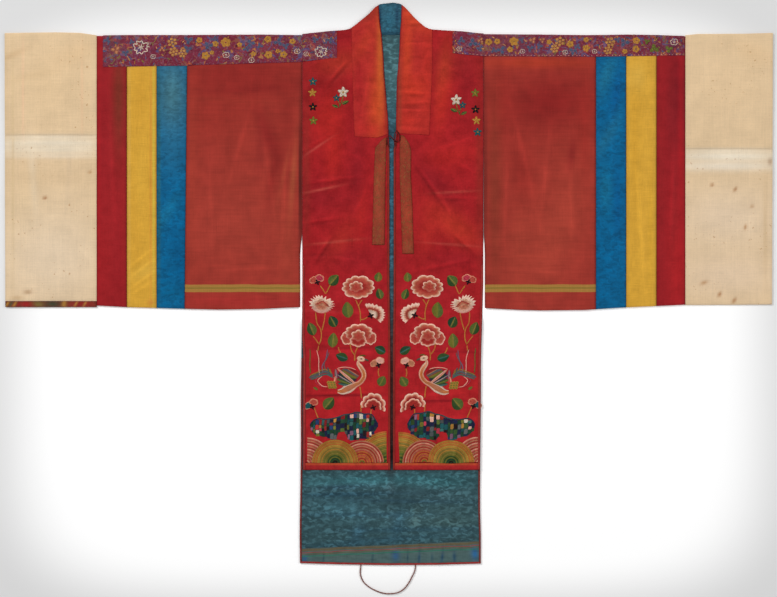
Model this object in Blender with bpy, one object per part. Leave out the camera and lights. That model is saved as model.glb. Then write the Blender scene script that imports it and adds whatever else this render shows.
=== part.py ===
"""A Korean bridal robe with wide striped sleeves, laid flat on its back with the front up.

Every width, height and place below is in millimetres, and becomes metres as a mesh is made.
X runs across the sleeves, Y from the hem to the neck, and Z up from the surface it lies on.
Left and right are as seen from above, with the neck at the top.
"""
import math
from collections import namedtuple

import bmesh
import bpy

MM = 0.001

# Heights of the layers: the underside of each, and how thick it is.
WALL = 1.4
BACK_LEVEL = 0.0
BACK_WALL = 1.2
LINING_LEVEL = 1.5
LINING_WALL = 1.0
FRONT_LEVEL = 2.9
FRONT_WALL = 1.5
SLEEVE_LEVEL = 3.0
OVERLAY_LEVEL = 4.8
OVERLAY_WALL = 0.9
TRIM_WALL = 0.8

SEAM = 0.3
ROW_STEP = 36.0
FLAT_ROW_STEP = 144.0
COLUMN_STEP = 24.0
SLEEVE_COLUMN_STEP = 40.0
BACK_COLUMNS = 8
LINING_COLUMNS = 10
EDGE_COLUMNS = 12
COLLAR_COLUMNS = 4
TIE_COLUMNS = 2
SETTLING_ROUNDS = 6

# A flat sleeve is folded at its top and sewn at its bottom, both round an edge of this radius.
FOLD_RADIUS = 2.2
FOLD_TURNS = (45, 0)
FOLD_FOOT = 0.4

MAX_LIFT = 2.2
FADE = 60.0

# Outlines, as rows down the robe: where the left and the right edge are at each height.
Edge = namedtuple("Edge", "y left right")
BACK_OUTLINE = (
    Edge(572, -195, 213),
    Edge(0, -195, 212),
    Edge(-60, -195.5, 210.5),
    Edge(-125, -196.6, 208.4),
    Edge(-180, -197.4, 207),
    Edge(-260, -198.6, 206.9),
    Edge(-350, -198.2, 206),
    Edge(-395, -198.6, 205.5),
    Edge(-460, -199.4, 204.8),
    Edge(-510, -200.4, 205),
    Edge(-565, -201, 206.6),
    Edge(-640, -200, 206.5),
)
LEFT_FRONT_OUTLINE = (
    Edge(640, -195, -24),
    Edge(591, -195, -21),
    Edge(565, -195, -17),
    Edge(519, -195, -13),
    Edge(478, -195, -11),
    Edge(370, -195, -2),
    Edge(336, -195, -1),
    Edge(302, -195, 1),
    Edge(0, -195, 1),
    Edge(-60, -195, 2),
    Edge(-120, -194.8, 3),
    Edge(-160, -192.6, 3),
    Edge(-420, -193, 3),
)
RIGHT_FRONT_OUTLINE = (
    Edge(640, 29, 213),
    Edge(591, 27, 213),
    Edge(565, 25, 213),
    Edge(519, 23, 213),
    Edge(460, 18, 213),
    Edge(370, 16, 213),
    Edge(336, 16, 213),
    Edge(302, 10.5, 213),
    Edge(0, 10.5, 211.5),
    Edge(-60, 10, 209.8),
    Edge(-125, 9, 207.6),
    Edge(-180, 9, 206.2),
    Edge(-260, 9, 206),
    Edge(-420, 9, 204.6),
)
LEFT_COLLAR_OUTLINE = (
    Edge(640, -84, -26),
    Edge(591, -84, -23),
    Edge(565, -84, -19),
    Edge(519, -83, -15),
    Edge(478, -82, -13),
    Edge(370, -79, -4),
    Edge(325, -76, -3),
)
RIGHT_COLLAR_OUTLINE = (
    Edge(640, 31, 97),
    Edge(591, 29, 97),
    Edge(565, 27, 97),
    Edge(519, 25, 97),
    Edge(460, 20, 96),
    Edge(370, 18, 92),
    Edge(325, 18, 90),
)
LEFT_TIE_OUTLINE = (
    Edge(330, -10, -5),
    Edge(323, -18, -5),
    Edge(307, -31, -6),
    Edge(246, -34, -8),
    Edge(89, -38, -10),
)
RIGHT_TIE_OUTLINE = (
    Edge(335, 25, 33),
    Edge(316, 24, 46),
    Edge(298, 24, 50),
    Edge(246, 24, 49),
    Edge(190, 26, 52),
    Edge(69, 30, 56),
)

# Lines across the robe: how high each one is at places from left to right.
Height = namedtuple("Height", "x y")
NECK_LINE = (
    Height(-195, 563),
    Height(-164, 566.3),
    Height(-137, 569.2),
    Height(-110, 571.4),
    Height(-97, 572.6),
    Height(-88, 575),
    Height(-76, 583),
    Height(-65, 592),
    Height(-54, 601),
    Height(-43, 610.5),
    Height(-32, 622.5),
    Height(-20, 630.5),
    Height(-9, 632),
    Height(10, 634),
    Height(26, 631),
    Height(36, 623),
    Height(47, 611),
    Height(58, 599),
    Height(70, 588),
    Height(81, 579),
    Height(92, 574),
    Height(104, 572.8),
    Height(142, 570.3),
    Height(169, 568.8),
    Height(196, 565.4),
    Height(213, 564),
)
HEM_LINE = (
    Height(-200, -626.5),
    Height(-110, -629.3),
    Height(0, -631),
    Height(110, -630.2),
    Height(208, -627.5),
)
FACING_LINE = (Height(-200, -594), Height(208, -577))
COLLAR_FOOT_LINE = (
    Height(-80, 333),
    Height(-28, 330),
    Height(-3, 338),
    Height(18, 340),
    Height(95, 336),
)
SHOULDER_LINE = 566
BACK_TOP = 562.5
NECK_SEAM = 561
NECK_SIDES = (-84, 92)
FRONT_HEM = -417
HEM_BAND_HEIGHT = 16

# The folded top and the sewn bottom of each sleeve.
Fold = namedtuple("Fold", "x low high")
LEFT_SLEEVE = (
    Fold(-657, -47.5, 559),
    Fold(-589, -51, 560),
    Fold(-522, -53, 560),
    Fold(-453, -55, 560),
    Fold(-380, -56.6, 560.5),
    Fold(-285, -55.2, 561),
    Fold(-245, -53, 560.4),
    Fold(-195, -51, 559.8),
)
RIGHT_SLEEVE = (
    Fold(213, -53, 562),
    Fold(250, -55.2, 561.7),
    Fold(300, -57.6, 561.3),
    Fold(340, -58.6, 561),
    Fold(440, -57.6, 559.8),
    Fold(485, -54.4, 560.2),
    Fold(540, -51.2, 561),
    Fold(601, -48.6, 560),
    Fold(666, -45.5, 557.8),
)
LEFT_CUFF = (
    Fold(-866, -37, 565.5),
    Fold(-750, -37, 567.2),
    Fold(-695, -37, 566),
    Fold(-657, -37, 560.5),
)
RIGHT_CUFF = (
    Fold(666, -46, 560.5),
    Fold(695, -46, 563.5),
    Fold(800, -45.5, 564),
    Fold(866, -45, 566),
)
LEFT_TRIM = (Fold(-866, -51, -37.3), Fold(-657, -51, -37.3))

# The lengths that a sleeve is pieced from, from the body outwards: the seam at its top and bottom.
Length = namedtuple("Length", "name top bottom colour")
LEFT_LENGTHS = (
    Length("inner", -453, -459, "gauze"),
    Length("blue", -522, -522, "blue"),
    Length("yellow", -589, -589, "yellow"),
    Length("red", -657, -657, "bright_red"),
)
RIGHT_LENGTHS = (
    Length("inner", 465, 465, "gauze"),
    Length("blue", 533, 533, "blue"),
    Length("yellow", 601, 601, "yellow"),
    Length("red", 666, 666, "bright_red"),
)
# The end of a sleeve at the body: sewn on above, and open below like a slit.
SLIT_TOP = 114
SLIT_FOOT = 78
LEFT_SLIT = (-199.5, -195 - SEAM)
RIGHT_SLIT = (215.5, 213 + SEAM)
LEFT_CUFF_END = (-862.5, -864)
RIGHT_CUFF_END = (861, 863)
LEFT_CUFF_SEAM = 336
RIGHT_CUFF_SEAM = 305

# The flowered bands over the shoulders, in three lengths a side.
Band = namedtuple("Band", "name inner outer low_inner low_outer")
LEFT_BANDS = (
    Band("body", -117, -195, 510, 501),
    Band("inner", -195.3, -443, 500, 493),
    Band("outer", -443.3, -643, 492, 489),
)
RIGHT_BANDS = (
    Band("body", 143, 213, 520, 513),
    Band("inner", 213.3, 463, 513, 512),
    Band("outer", 463.3, 664, 512, 515),
)

PIPING = 4.2
CENTRE_BINDING = 4.6
SIDE_BINDING = 5.2
BINDING_TOP = 320
SIDE_BINDING_TOP = 44
LEFT_PIPING_TOP = -165
RIGHT_PIPING_TOP = -417.3

CORD_SIDES = 2
TIE_CORD = 2.4
HEM_CORD = 3.0
CORD_STEP = 7.0

Point = namedtuple("Point", "x y z")
# The little loop that holds the ties together, over the edges of both fronts.
TIE_LOOP_ROUTE = (
    Point(1, 309, 0.0),
    Point(-4, 317, 0.1),
    Point(-3, 328, 0.2),
    Point(2, 334, 0.3),
    Point(7, 329, 0.3),
    Point(13, 323, 0.0),
    Point(22, 322, 0.0),
    Point(24, 332, 0.3),
    Point(18, 345, 1.4),
    Point(13, 337, 2.9),
    Point(12, 322, 3.0),
    Point(13, 310, 1.0),
)
# The hanging loop under the hem, as it lies on the surface.
HEM_LOOP_ROUTE = (
    Point(-63.0, -630.4, 1.6),
    Point(-64.4, -642.0, 1.6),
    Point(-64.2, -653.0, 1.6),
    Point(-58.0, -668.0, 1.6),
    Point(-46.0, -679.5, 1.6),
    Point(-31.0, -688.0, 1.6),
    Point(-14.0, -694.0, 1.6),
    Point(4.0, -695.5, 1.6),
    Point(21.0, -692.5, 1.6),
    Point(34.5, -684.0, 1.6),
    Point(44.5, -671.0, 1.6),
    Point(52.5, -656.0, 1.6),
    Point(58.0, -644.0, 1.6),
    Point(60.0, -630.9, 1.6),
)

# The largest soft folds of the upper cloth: middle, direction in degrees, and size.
Crease = namedtuple("Crease", "x y turn length width height")
CREASES = (
    Crease(-110, 452, 20, 90, 30, 0.9),
    Crease(-120, 300, -12, 80, 34, 1.1),
    Crease(-104, 150, 8, 100, 36, 1.2),
    Crease(-90, 40, -38, 60, 28, 1.0),
    Crease(-95, -38, 4, 90, 26, 0.9),
    Crease(-92, -150, -5, 95, 30, 1.1),
    Crease(-100, -262, 6, 90, 32, 1.0),
    Crease(-90, -352, -3, 80, 28, 0.7),
    Crease(112, 470, -18, 80, 30, 0.8),
    Crease(130, 285, 14, 80, 34, 1.2),
    Crease(108, 120, -9, 95, 36, 1.0),
    Crease(118, 6, 7, 90, 28, 1.1),
    Crease(105, -96, -6, 95, 30, 0.9),
    Crease(112, -210, 5, 90, 32, 1.2),
    Crease(104, -318, -4, 85, 30, 0.8),
    Crease(-330, 395, 62, 150, 44, 1.5),
    Crease(-300, 190, 78, 160, 50, 1.6),
    Crease(-390, 90, 95, 120, 46, 1.3),
    Crease(-255, 50, 100, 110, 40, 1.0),
    Crease(-556, 300, 88, 190, 40, 1.2),
    Crease(-620, 110, 96, 150, 36, 1.0),
    Crease(-495, 120, 84, 160, 36, 1.1),
    Crease(-760, 420, 12, 110, 44, 1.3),
    Crease(-780, 190, -14, 100, 50, 1.5),
    Crease(-720, 60, 70, 90, 40, 1.0),
    Crease(300, 400, 112, 160, 46, 1.5),
    Crease(360, 190, 96, 170, 50, 1.6),
    Crease(420, 330, 80, 120, 42, 1.1),
    Crease(270, 60, 84, 110, 40, 1.2),
    Crease(566, 260, 92, 190, 40, 1.3),
    Crease(500, 130, 94, 150, 36, 1.0),
    Crease(634, 330, 86, 150, 34, 1.0),
    Crease(750, 430, -10, 110, 46, 1.4),
    Crease(790, 220, 16, 100, 48, 1.4),
    Crease(730, 70, 100, 90, 40, 1.1),
)
# Folds of the lining where it shows under the fronts.
LINING_CREASES = (
    Crease(-60, -452, 3, 110, 16, 0.9),
    Crease(110, -470, -4, 90, 17, 1.1),
    Crease(-90, -512, -6, 80, 20, 0.8),
    Crease(60, -528, 5, 110, 18, 0.9),
)

# Colours, rough to the touch as cloth is: red, green, blue and roughness.
Cloth = namedtuple("Cloth", "red green blue rough")
CLOTHS = {
    "red": Cloth(0.38, 0.020, 0.022, 0.55),
    "back_red": Cloth(0.33, 0.022, 0.020, 0.65),
    "collar": Cloth(0.50, 0.040, 0.018, 0.55),
    "teal": Cloth(0.036, 0.100, 0.120, 0.60),
    "neck_blue": Cloth(0.022, 0.130, 0.200, 0.60),
    "hem_teal": Cloth(0.040, 0.110, 0.130, 0.60),
    "gauze": Cloth(0.35, 0.045, 0.030, 0.80),
    "blue": Cloth(0.004, 0.130, 0.330, 0.50),
    "yellow": Cloth(0.75, 0.470, 0.060, 0.50),
    "bright_red": Cloth(0.36, 0.010, 0.014, 0.50),
    "cream": Cloth(0.79, 0.610, 0.400, 0.90),
    "brocade": Cloth(0.20, 0.026, 0.090, 0.60),
    "binding": Cloth(0.26, 0.020, 0.026, 0.60),
    "tie": Cloth(0.30, 0.060, 0.030, 0.65),
    "trim": Cloth(0.20, 0.080, 0.050, 0.80),
    "cord": Cloth(0.11, 0.040, 0.036, 0.85),
}


def clear_scene():
    for old in list(bpy.data.objects):
        bpy.data.objects.remove(old, do_unlink=True)


def make_materials():
    materials = {}
    for name, cloth in CLOTHS.items():
        material = bpy.data.materials.new(name)
        material.use_nodes = True
        shader = material.node_tree.nodes["Principled BSDF"]
        shader.inputs["Base Color"].default_value = (cloth.red, cloth.green, cloth.blue, 1.0)
        shader.inputs["Roughness"].default_value = cloth.rough
        shader.inputs["Metallic"].default_value = 0.0
        materials[name] = material
    return materials


def blend(start, end, share):
    return start + (end - start) * share


def read_rows(rows, key, value, place):
    """A table's value at a place between its rows, held level past its ends."""
    ordered = sorted(rows, key=lambda row: getattr(row, key))
    if place <= getattr(ordered[0], key):
        return getattr(ordered[0], value)
    for before, after in zip(ordered, ordered[1:]):
        if place <= getattr(after, key):
            span = getattr(after, key) - getattr(before, key)
            share = (place - getattr(before, key)) / span
            return blend(getattr(before, value), getattr(after, value), share)
    return getattr(ordered[-1], value)


def left_of(rows, inset=0.0):
    return lambda y: read_rows(rows, "y", "left", y) + inset


def right_of(rows, inset=0.0):
    return lambda y: read_rows(rows, "y", "right", y) - inset


def line(rows, value="y", rise=0.0):
    return lambda x: read_rows(rows, "x", value, x) + rise


def level(height):
    return lambda place: height


def slope(low_place, low_value, high_place, high_value):
    """A straight edge through two points, carried on past both."""
    rate = (high_value - low_value) / (high_place - low_place)
    return lambda place: low_value + rate * (place - low_place)


def crease_height(creases, x, y):
    """How far the soft folds lift the cloth at a point."""
    total = 0.0
    for crease in creases:
        turn = math.radians(crease.turn)
        along = (x - crease.x) * math.cos(turn) + (y - crease.y) * math.sin(turn)
        across = (y - crease.y) * math.cos(turn) - (x - crease.x) * math.sin(turn)
        total += crease.height * math.exp(-(along / crease.length) ** 2 - (across / crease.width) ** 2)
    return MAX_LIFT * math.tanh(total / MAX_LIFT)


def fade_in(distance):
    share = min(1.0, max(0.0, distance / FADE))
    return share * share * (3 - 2 * share)


def front_lift(x, y):
    """The folds of a front, which lies flat again at its hem, its shoulder and its side."""
    to_side = min(x - BACK_OUTLINE[0].left, BACK_OUTLINE[0].right - x)
    edge = fade_in(to_side) * fade_in(y - FRONT_HEM) * fade_in(SHOULDER_LINE - y)
    return crease_height(CREASES, x, y) * edge


def sleeve_lift(x, y):
    """The folds of a sleeve, which lies flat at its fold and its seam, and next to the body."""
    outline = LEFT_SLEEVE if x < 0 else RIGHT_SLEEVE
    low = read_rows(outline, "x", "low", x)
    high = read_rows(outline, "x", "high", x)
    to_body = BACK_OUTLINE[0].left - x if x < 0 else x - BACK_OUTLINE[0].right
    edge = fade_in(y - low) * fade_in(high - y) * fade_in(to_body)
    return crease_height(CREASES, x, y) * edge


def lining_lift(x, y):
    """The folds of the lining between the hem of the fronts and its own facing."""
    edge = fade_in((FRONT_HEM - y) * 2) * fade_in((y - line(FACING_LINE)(x)) * 2)
    to_side = min(x - BACK_OUTLINE[-1].left, BACK_OUTLINE[-1].right - x)
    return crease_height(LINING_CREASES, x, y) * edge * fade_in(to_side)


def no_lift(x, y):
    return 0.0


def lattice(low, high, step):
    """Level lines at whole steps between two heights, none close to either."""
    first = math.ceil((low + step / 3) / step)
    last = math.floor((high - step / 3) / step)
    return [number * step for number in range(first, last + 1)]


def fold_points(radius, side):
    """The edge of a folded wall, from its flat face out and down: steps in Y, and heights."""
    points = []
    for turn in FOLD_TURNS:
        angle = math.radians(turn)
        points.append((side * radius * math.cos(angle), FOLD_RADIUS + radius * math.sin(angle)))
    points.append((side * radius, FOLD_RADIUS - FOLD_FOOT))
    return points


def wall_grid(sides, ends, columns, step, height, folds, lift):
    """One face of a wall: a row of points for each column, from its low end to its high end."""
    left, right = sides
    low, high = ends
    fold_low, fold_high = folds
    shares = [number / columns for number in range(columns + 1)]
    middle = (low(0.0) + high(0.0)) / 2

    def place(share, y):
        return blend(left(y), right(y), share)

    def reach(edge, share):
        y = middle
        for _ in range(SETTLING_ROUNDS):
            y = edge(place(share, y))
        return y

    lows = [reach(low, share) + (FOLD_RADIUS if fold_low else 0.0) for share in shares]
    highs = [reach(high, share) - (FOLD_RADIUS if fold_high else 0.0) for share in shares]
    inner = lattice(max(lows), min(highs), step)
    radius = height - FOLD_RADIUS
    grid = []
    for share, y_low, y_high in zip(shares, lows, highs):
        row = []
        if fold_low:
            x = place(share, y_low)
            row += [(x, y_low + out, z) for out, z in reversed(fold_points(radius, -1))]
        for y in [y_low] + inner + [y_high]:
            x = place(share, y)
            row.append((x, y, height + lift(x, y)))
        if fold_high:
            x = place(share, y_high)
            row += [(x, y_high + out, z) for out, z in fold_points(radius, 1)]
        grid.append(row)
    return grid


def close_wall(name, upper, lower, material):
    """A closed solid between two faces that have the same rows and columns."""
    shape = bmesh.new()
    faces = []
    for grid in (upper, lower):
        faces.append([[shape.verts.new([MM * part for part in point]) for point in row] for row in grid])
    columns = len(upper)
    rows = len(upper[0])
    for face in faces:
        for i in range(columns - 1):
            for j in range(rows - 1):
                shape.faces.new((face[i][j], face[i + 1][j], face[i + 1][j + 1], face[i][j + 1]))
    rim = [(i, 0) for i in range(columns)]
    rim += [(columns - 1, j) for j in range(1, rows)]
    rim += [(i, rows - 1) for i in range(columns - 2, -1, -1)]
    rim += [(0, j) for j in range(rows - 2, 0, -1)]
    top, bottom = faces
    for (i, j), (k, m) in zip(rim, rim[1:] + rim[:1]):
        shape.faces.new((top[i][j], top[k][m], bottom[k][m], bottom[i][j]))
    bmesh.ops.recalc_face_normals(shape, faces=shape.faces)
    mesh = bpy.data.meshes.new(name)
    shape.to_mesh(mesh)
    shape.free()
    mesh.materials.append(material)
    piece = bpy.data.objects.new(name, mesh)
    bpy.context.collection.objects.link(piece)
    return piece


def cloth_wall(name, material, sides, ends, underside, thickness, columns,
               step=ROW_STEP, folds=(False, False), lift=no_lift):
    """A wall of cloth between two sides, given down its length, and two ends, given across it."""
    upper = wall_grid(sides, ends, columns, step, underside + thickness, folds, lift)
    lower = wall_grid(sides, ends, columns, step, underside, folds, lift)
    return close_wall(name, upper, lower, material)


def column_count(left, right, step):
    return max(1, round(abs(right - left) / step))


def smooth_route(points, step):
    """Points along a smooth curve through a cord's route."""
    route = []
    for number in range(len(points) - 1):
        before = points[max(0, number - 1)]
        start = points[number]
        end = points[number + 1]
        after = points[min(len(points) - 1, number + 2)]
        pieces = max(1, round(math.dist(start, end) / step))
        for piece in range(pieces):
            share = piece / pieces
            route.append([catmull_rom(*values, share) for values in zip(before, start, end, after)])
    route.append(list(points[-1]))
    return route


def catmull_rom(before, start, end, after, share):
    """A value on the smooth curve from start to end, bent by the values on either side."""
    straight = end - before
    bend = 2 * before - 5 * start + 4 * end - after
    turn = 3 * start - before - 3 * end + after
    return start + 0.5 * share * (straight + share * (bend + share * turn))


def cord(name, material, route, diameter, step):
    curve = bpy.data.curves.new(name, "CURVE")
    curve.dimensions = "3D"
    curve.bevel_depth = diameter * MM / 2
    curve.bevel_resolution = CORD_SIDES
    curve.use_fill_caps = True
    points = smooth_route(route, step)
    spline = curve.splines.new("POLY")
    spline.points.add(len(points) - 1)
    for point, (x, y, z) in zip(spline.points, points):
        point.co = (x * MM, y * MM, z * MM, 1.0)
    curve.materials.append(material)
    piece = bpy.data.objects.new(name, curve)
    bpy.context.collection.objects.link(piece)
    return piece


def make_back(materials):
    """The back, with its lining, the facing of its hem, and the back of the collar."""
    sides = (left_of(BACK_OUTLINE), right_of(BACK_OUTLINE))
    cloth_wall("back_panel", materials["back_red"], sides, (line(HEM_LINE), level(BACK_TOP)),
               BACK_LEVEL, BACK_WALL, BACK_COLUMNS, step=FLAT_ROW_STEP)
    cloth_wall("back_lining", materials["teal"], sides,
               (line(FACING_LINE, rise=SEAM), level(NECK_SEAM - SEAM)),
               LINING_LEVEL, LINING_WALL, LINING_COLUMNS, lift=lining_lift)
    cloth_wall("hem_facing", materials["hem_teal"], sides, (line(HEM_LINE), line(FACING_LINE)),
               LINING_LEVEL, LINING_WALL, EDGE_COLUMNS)
    neck_sides = (level(NECK_SIDES[0]), level(NECK_SIDES[1]))
    cloth_wall("collar_back", materials["collar"], neck_sides,
               (level(BACK_TOP + SEAM), line(NECK_LINE)), BACK_LEVEL, BACK_WALL, EDGE_COLUMNS)
    cloth_wall("neck_facing", materials["neck_blue"], neck_sides, (level(NECK_SEAM), line(NECK_LINE)),
               LINING_LEVEL, LINING_WALL, EDGE_COLUMNS)


def make_back_piping(materials):
    """Red piping on the edge of the lining, down both sides and along the hem."""
    piping = materials["binding"]
    underside = FRONT_LEVEL
    left, right = left_of(BACK_OUTLINE), right_of(BACK_OUTLINE)
    foot = line(HEM_LINE, rise=PIPING + SEAM)
    left_sides = (left, left_of(BACK_OUTLINE, PIPING))
    right_sides = (right_of(BACK_OUTLINE, PIPING), right)
    cloth_wall("piping_back_left", piping, left_sides, (foot, level(LEFT_PIPING_TOP)),
               underside, TRIM_WALL, 1)
    cloth_wall("piping_back_right", piping, right_sides, (foot, level(RIGHT_PIPING_TOP)),
               underside, TRIM_WALL, 1)
    cloth_wall("piping_back_hem", piping, (left, right), (line(HEM_LINE), line(HEM_LINE, rise=PIPING)),
               underside, TRIM_WALL, EDGE_COLUMNS)


def make_front(materials, side, outline, collar, outer):
    """One front with its hem band and its collar; outer names the edge away from the centre."""
    sides = (left_of(outline), right_of(outline))
    columns = column_count(outline[0].left, outline[0].right, COLUMN_STEP)
    band_top = FRONT_HEM + HEM_BAND_HEIGHT
    cloth_wall("front_" + side, materials["red"], sides, (level(band_top), line(NECK_LINE)),
               FRONT_LEVEL, FRONT_WALL, columns, lift=front_lift)
    cloth_wall("hem_band_" + side, materials["binding"], sides, (level(FRONT_HEM), level(band_top - SEAM)),
               FRONT_LEVEL, FRONT_WALL, columns, lift=front_lift)
    cloth_wall("collar_" + side, materials["collar"], (left_of(collar), right_of(collar)),
               (line(COLLAR_FOOT_LINE), line(NECK_LINE)), OVERLAY_LEVEL, OVERLAY_WALL, COLLAR_COLUMNS,
               lift=front_lift)
    edges = {
        "left": lambda width: (left_of(outline), left_of(outline, width)),
        "right": lambda width: (right_of(outline, width), right_of(outline)),
    }
    centre = "left" if outer == "right" else "right"
    cloth_wall("piping_centre_" + side, materials["binding"], edges[centre](CENTRE_BINDING),
               (level(FRONT_HEM), level(BINDING_TOP)), OVERLAY_LEVEL, TRIM_WALL, 1, lift=front_lift)
    cloth_wall("piping_side_" + side, materials["binding"], edges[outer](SIDE_BINDING),
               (level(FRONT_HEM), level(SIDE_BINDING_TOP)), OVERLAY_LEVEL, TRIM_WALL, 1, lift=front_lift)


def make_tie(materials, side, outline):
    foot = min(row.y for row in outline)
    top = max(row.y for row in outline)
    cloth_wall("tie_" + side, materials["tie"], (left_of(outline), right_of(outline)),
               (level(foot), level(top)), OVERLAY_LEVEL, OVERLAY_WALL, TIE_COLUMNS, step=ROW_STEP / 2,
               lift=front_lift)


def make_band(materials, side, band):
    """One length of a shoulder band, flat on a front or rolled over the top of a sleeve."""
    places = sorted((band.inner, band.outer))
    sides = (level(places[0]), level(places[1]))
    low = slope(band.inner, band.low_inner, band.outer, band.low_outer)
    on_sleeve = band.name != "body"
    sleeve = LEFT_SLEEVE if side == "left" else RIGHT_SLEEVE
    high = line(sleeve, "high") if on_sleeve else line(NECK_LINE)
    columns = column_count(*places, SLEEVE_COLUMN_STEP)
    cloth_wall("band_" + side + "_" + band.name, materials["brocade"], sides, (low, high),
               OVERLAY_LEVEL, TRIM_WALL, columns, folds=(False, on_sleeve),
               lift=sleeve_lift if on_sleeve else front_lift)


def slit_edge(slit):
    """The end of a sleeve at the body, as a function of the height."""
    open_edge, sewn_edge = slit

    def edge(y):
        share = min(1.0, max(0.0, (y - SLIT_FOOT) / (SLIT_TOP - SLIT_FOOT)))
        return blend(open_edge, sewn_edge, share)

    return edge


def sleeve_pair(name, material, sides, ends, folds=(True, True)):
    """The front and the back wall of one length of a flat sleeve."""
    columns = column_count(sides[0](0.0), sides[1](0.0), SLEEVE_COLUMN_STEP)
    cloth_wall(name + "_front", material, sides, ends, SLEEVE_LEVEL, WALL, columns,
               folds=folds, lift=sleeve_lift)
    cloth_wall(name + "_back", material, sides, ends, BACK_LEVEL, WALL, columns, step=FLAT_ROW_STEP)


def make_sleeve(materials, side, outline, lengths, slit):
    """A sleeve's first length and its three stripes, each sewn to the next."""
    outwards = -1 if side == "left" else 1
    inner = slit_edge(slit)
    for length in lengths:
        outer = slope(outline[0].low, length.bottom, outline[0].high, length.top)
        sides = (outer, inner) if side == "left" else (inner, outer)
        sleeve_pair("sleeve_" + side + "_" + length.name, materials[length.colour], sides,
                    (line(outline, "low"), line(outline, "high")))
        inner = slope(outline[0].low, length.bottom + outwards * SEAM,
                      outline[0].high, length.top + outwards * SEAM)


def make_cuff(materials, side, outline, end, seam, inner, trim=None):
    """A white cuff in two lengths, with a striped trim under it where there is one."""
    outer = slope(outline[0].low, end[0], outline[0].high, end[1])
    sides = (outer, level(inner)) if side == "left" else (level(inner), outer)
    high = line(outline, "high")
    low = line(outline, "low")
    sleeve_pair("cuff_" + side + "_upper", materials["cream"], sides,
                (level(seam + SEAM), high), folds=(False, True))
    sleeve_pair("cuff_" + side + "_lower", materials["cream"], sides,
                (low, level(seam)), folds=(trim is None, False))
    if trim:
        sleeve_pair("cuff_" + side + "_trim", materials["trim"], sides,
                    (line(trim, "low"), line(trim, "high")), folds=(True, False))


def make_cords(materials):
    """The small loop between the ties, and the hanging loop that leaves the back hem."""
    ground = OVERLAY_LEVEL + OVERLAY_WALL + SEAM + TIE_CORD / 2
    route = [Point(x, y, z + ground + front_lift(x, y)) for x, y, z in TIE_LOOP_ROUTE]
    cord("tie_loop", materials["binding"], route, TIE_CORD, CORD_STEP / 2)
    cord("hem_loop", materials["cord"], HEM_LOOP_ROUTE, HEM_CORD, CORD_STEP)


def build():
    clear_scene()
    materials = make_materials()
    make_back(materials)
    make_back_piping(materials)
    make_front(materials, "left", LEFT_FRONT_OUTLINE, LEFT_COLLAR_OUTLINE, "left")
    make_front(materials, "right", RIGHT_FRONT_OUTLINE, RIGHT_COLLAR_OUTLINE, "right")
    make_tie(materials, "left", LEFT_TIE_OUTLINE)
    make_tie(materials, "right", RIGHT_TIE_OUTLINE)
    for band in LEFT_BANDS:
        make_band(materials, "left", band)
    for band in RIGHT_BANDS:
        make_band(materials, "right", band)
    make_sleeve(materials, "left", LEFT_SLEEVE, LEFT_LENGTHS, LEFT_SLIT)
    make_sleeve(materials, "right", RIGHT_SLEEVE, RIGHT_LENGTHS, RIGHT_SLIT)
    make_cuff(materials, "left", LEFT_CUFF, LEFT_CUFF_END, LEFT_CUFF_SEAM, -657 - SEAM, LEFT_TRIM)
    make_cuff(materials, "right", RIGHT_CUFF, RIGHT_CUFF_END, RIGHT_CUFF_SEAM, 666 + SEAM)
    make_cords(materials)


build()
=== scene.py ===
"""The finish of a Korean bridal robe with wide striped sleeves, laid flat with its front up.

Every width, height and place below is in millimetres, and becomes metres as a mesh is made.
X runs across the sleeves, Y from the hem to the neck, and Z up from the surface it lies on.
Left and right are as seen from above, with the neck at the top.
Colours are red, green and blue from 0 to 255, as the eye reads them, and become light when used.
"""
import math
from collections import namedtuple

import bpy
import numpy as np
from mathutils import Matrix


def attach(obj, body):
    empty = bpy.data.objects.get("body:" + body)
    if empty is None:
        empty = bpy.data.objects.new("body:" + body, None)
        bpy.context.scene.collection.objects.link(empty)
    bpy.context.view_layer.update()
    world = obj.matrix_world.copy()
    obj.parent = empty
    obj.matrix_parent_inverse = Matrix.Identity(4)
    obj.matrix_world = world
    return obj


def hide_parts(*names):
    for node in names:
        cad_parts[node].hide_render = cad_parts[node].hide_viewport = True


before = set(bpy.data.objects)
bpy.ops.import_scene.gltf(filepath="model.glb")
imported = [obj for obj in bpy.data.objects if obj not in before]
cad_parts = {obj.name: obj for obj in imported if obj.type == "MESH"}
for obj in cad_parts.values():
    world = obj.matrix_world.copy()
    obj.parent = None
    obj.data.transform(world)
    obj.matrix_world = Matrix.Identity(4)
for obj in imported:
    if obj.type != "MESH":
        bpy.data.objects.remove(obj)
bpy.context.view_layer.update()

MM = 0.001

# Heights of the upper face of each layer, and how thick the cloth is.
BACK_TOP_FACE = 1.2
LINING_TOP_FACE = 2.5
EDGING_TOP_FACE = 3.7
FRONT_TOP_FACE = 4.4
OVERLAY_TOP_FACE = 5.6
CLOTH_WALL = 1.1
THIN_WALL = 0.8

# The gap along a seam, the fold of a sleeve, and how high and low the soft folds and wrinkles go.
SEAM = 0.3
FOLD_RADIUS = 2.2
MAX_LIFT = 2.2
FADE = 60.0
WRINKLE_FADE = 14.0
LOWEST_DIP = -0.25
SETTLING_ROUNDS = 6

# How a cloth's edge drops and how far painted shade darkens it, and how strongly its creases are painted:
# darker troughs as painted shade and lighter ridges as painted highlight.
EDGE_DROP = 0.35
EDGE_WIDTH = 2.6
SOFT_EDGE = 0.9
EDGE_SHADE = 0.72
CREASE_PAINTED_SHADE = 0.34

# Angles in degrees: up to where a cloth is smooth, and how far a sleeve and a band turn over the fold.
SMOOTH_ANGLE = 60
HALF_TURN = 180.0
BAND_TURN = 112.0

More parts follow.
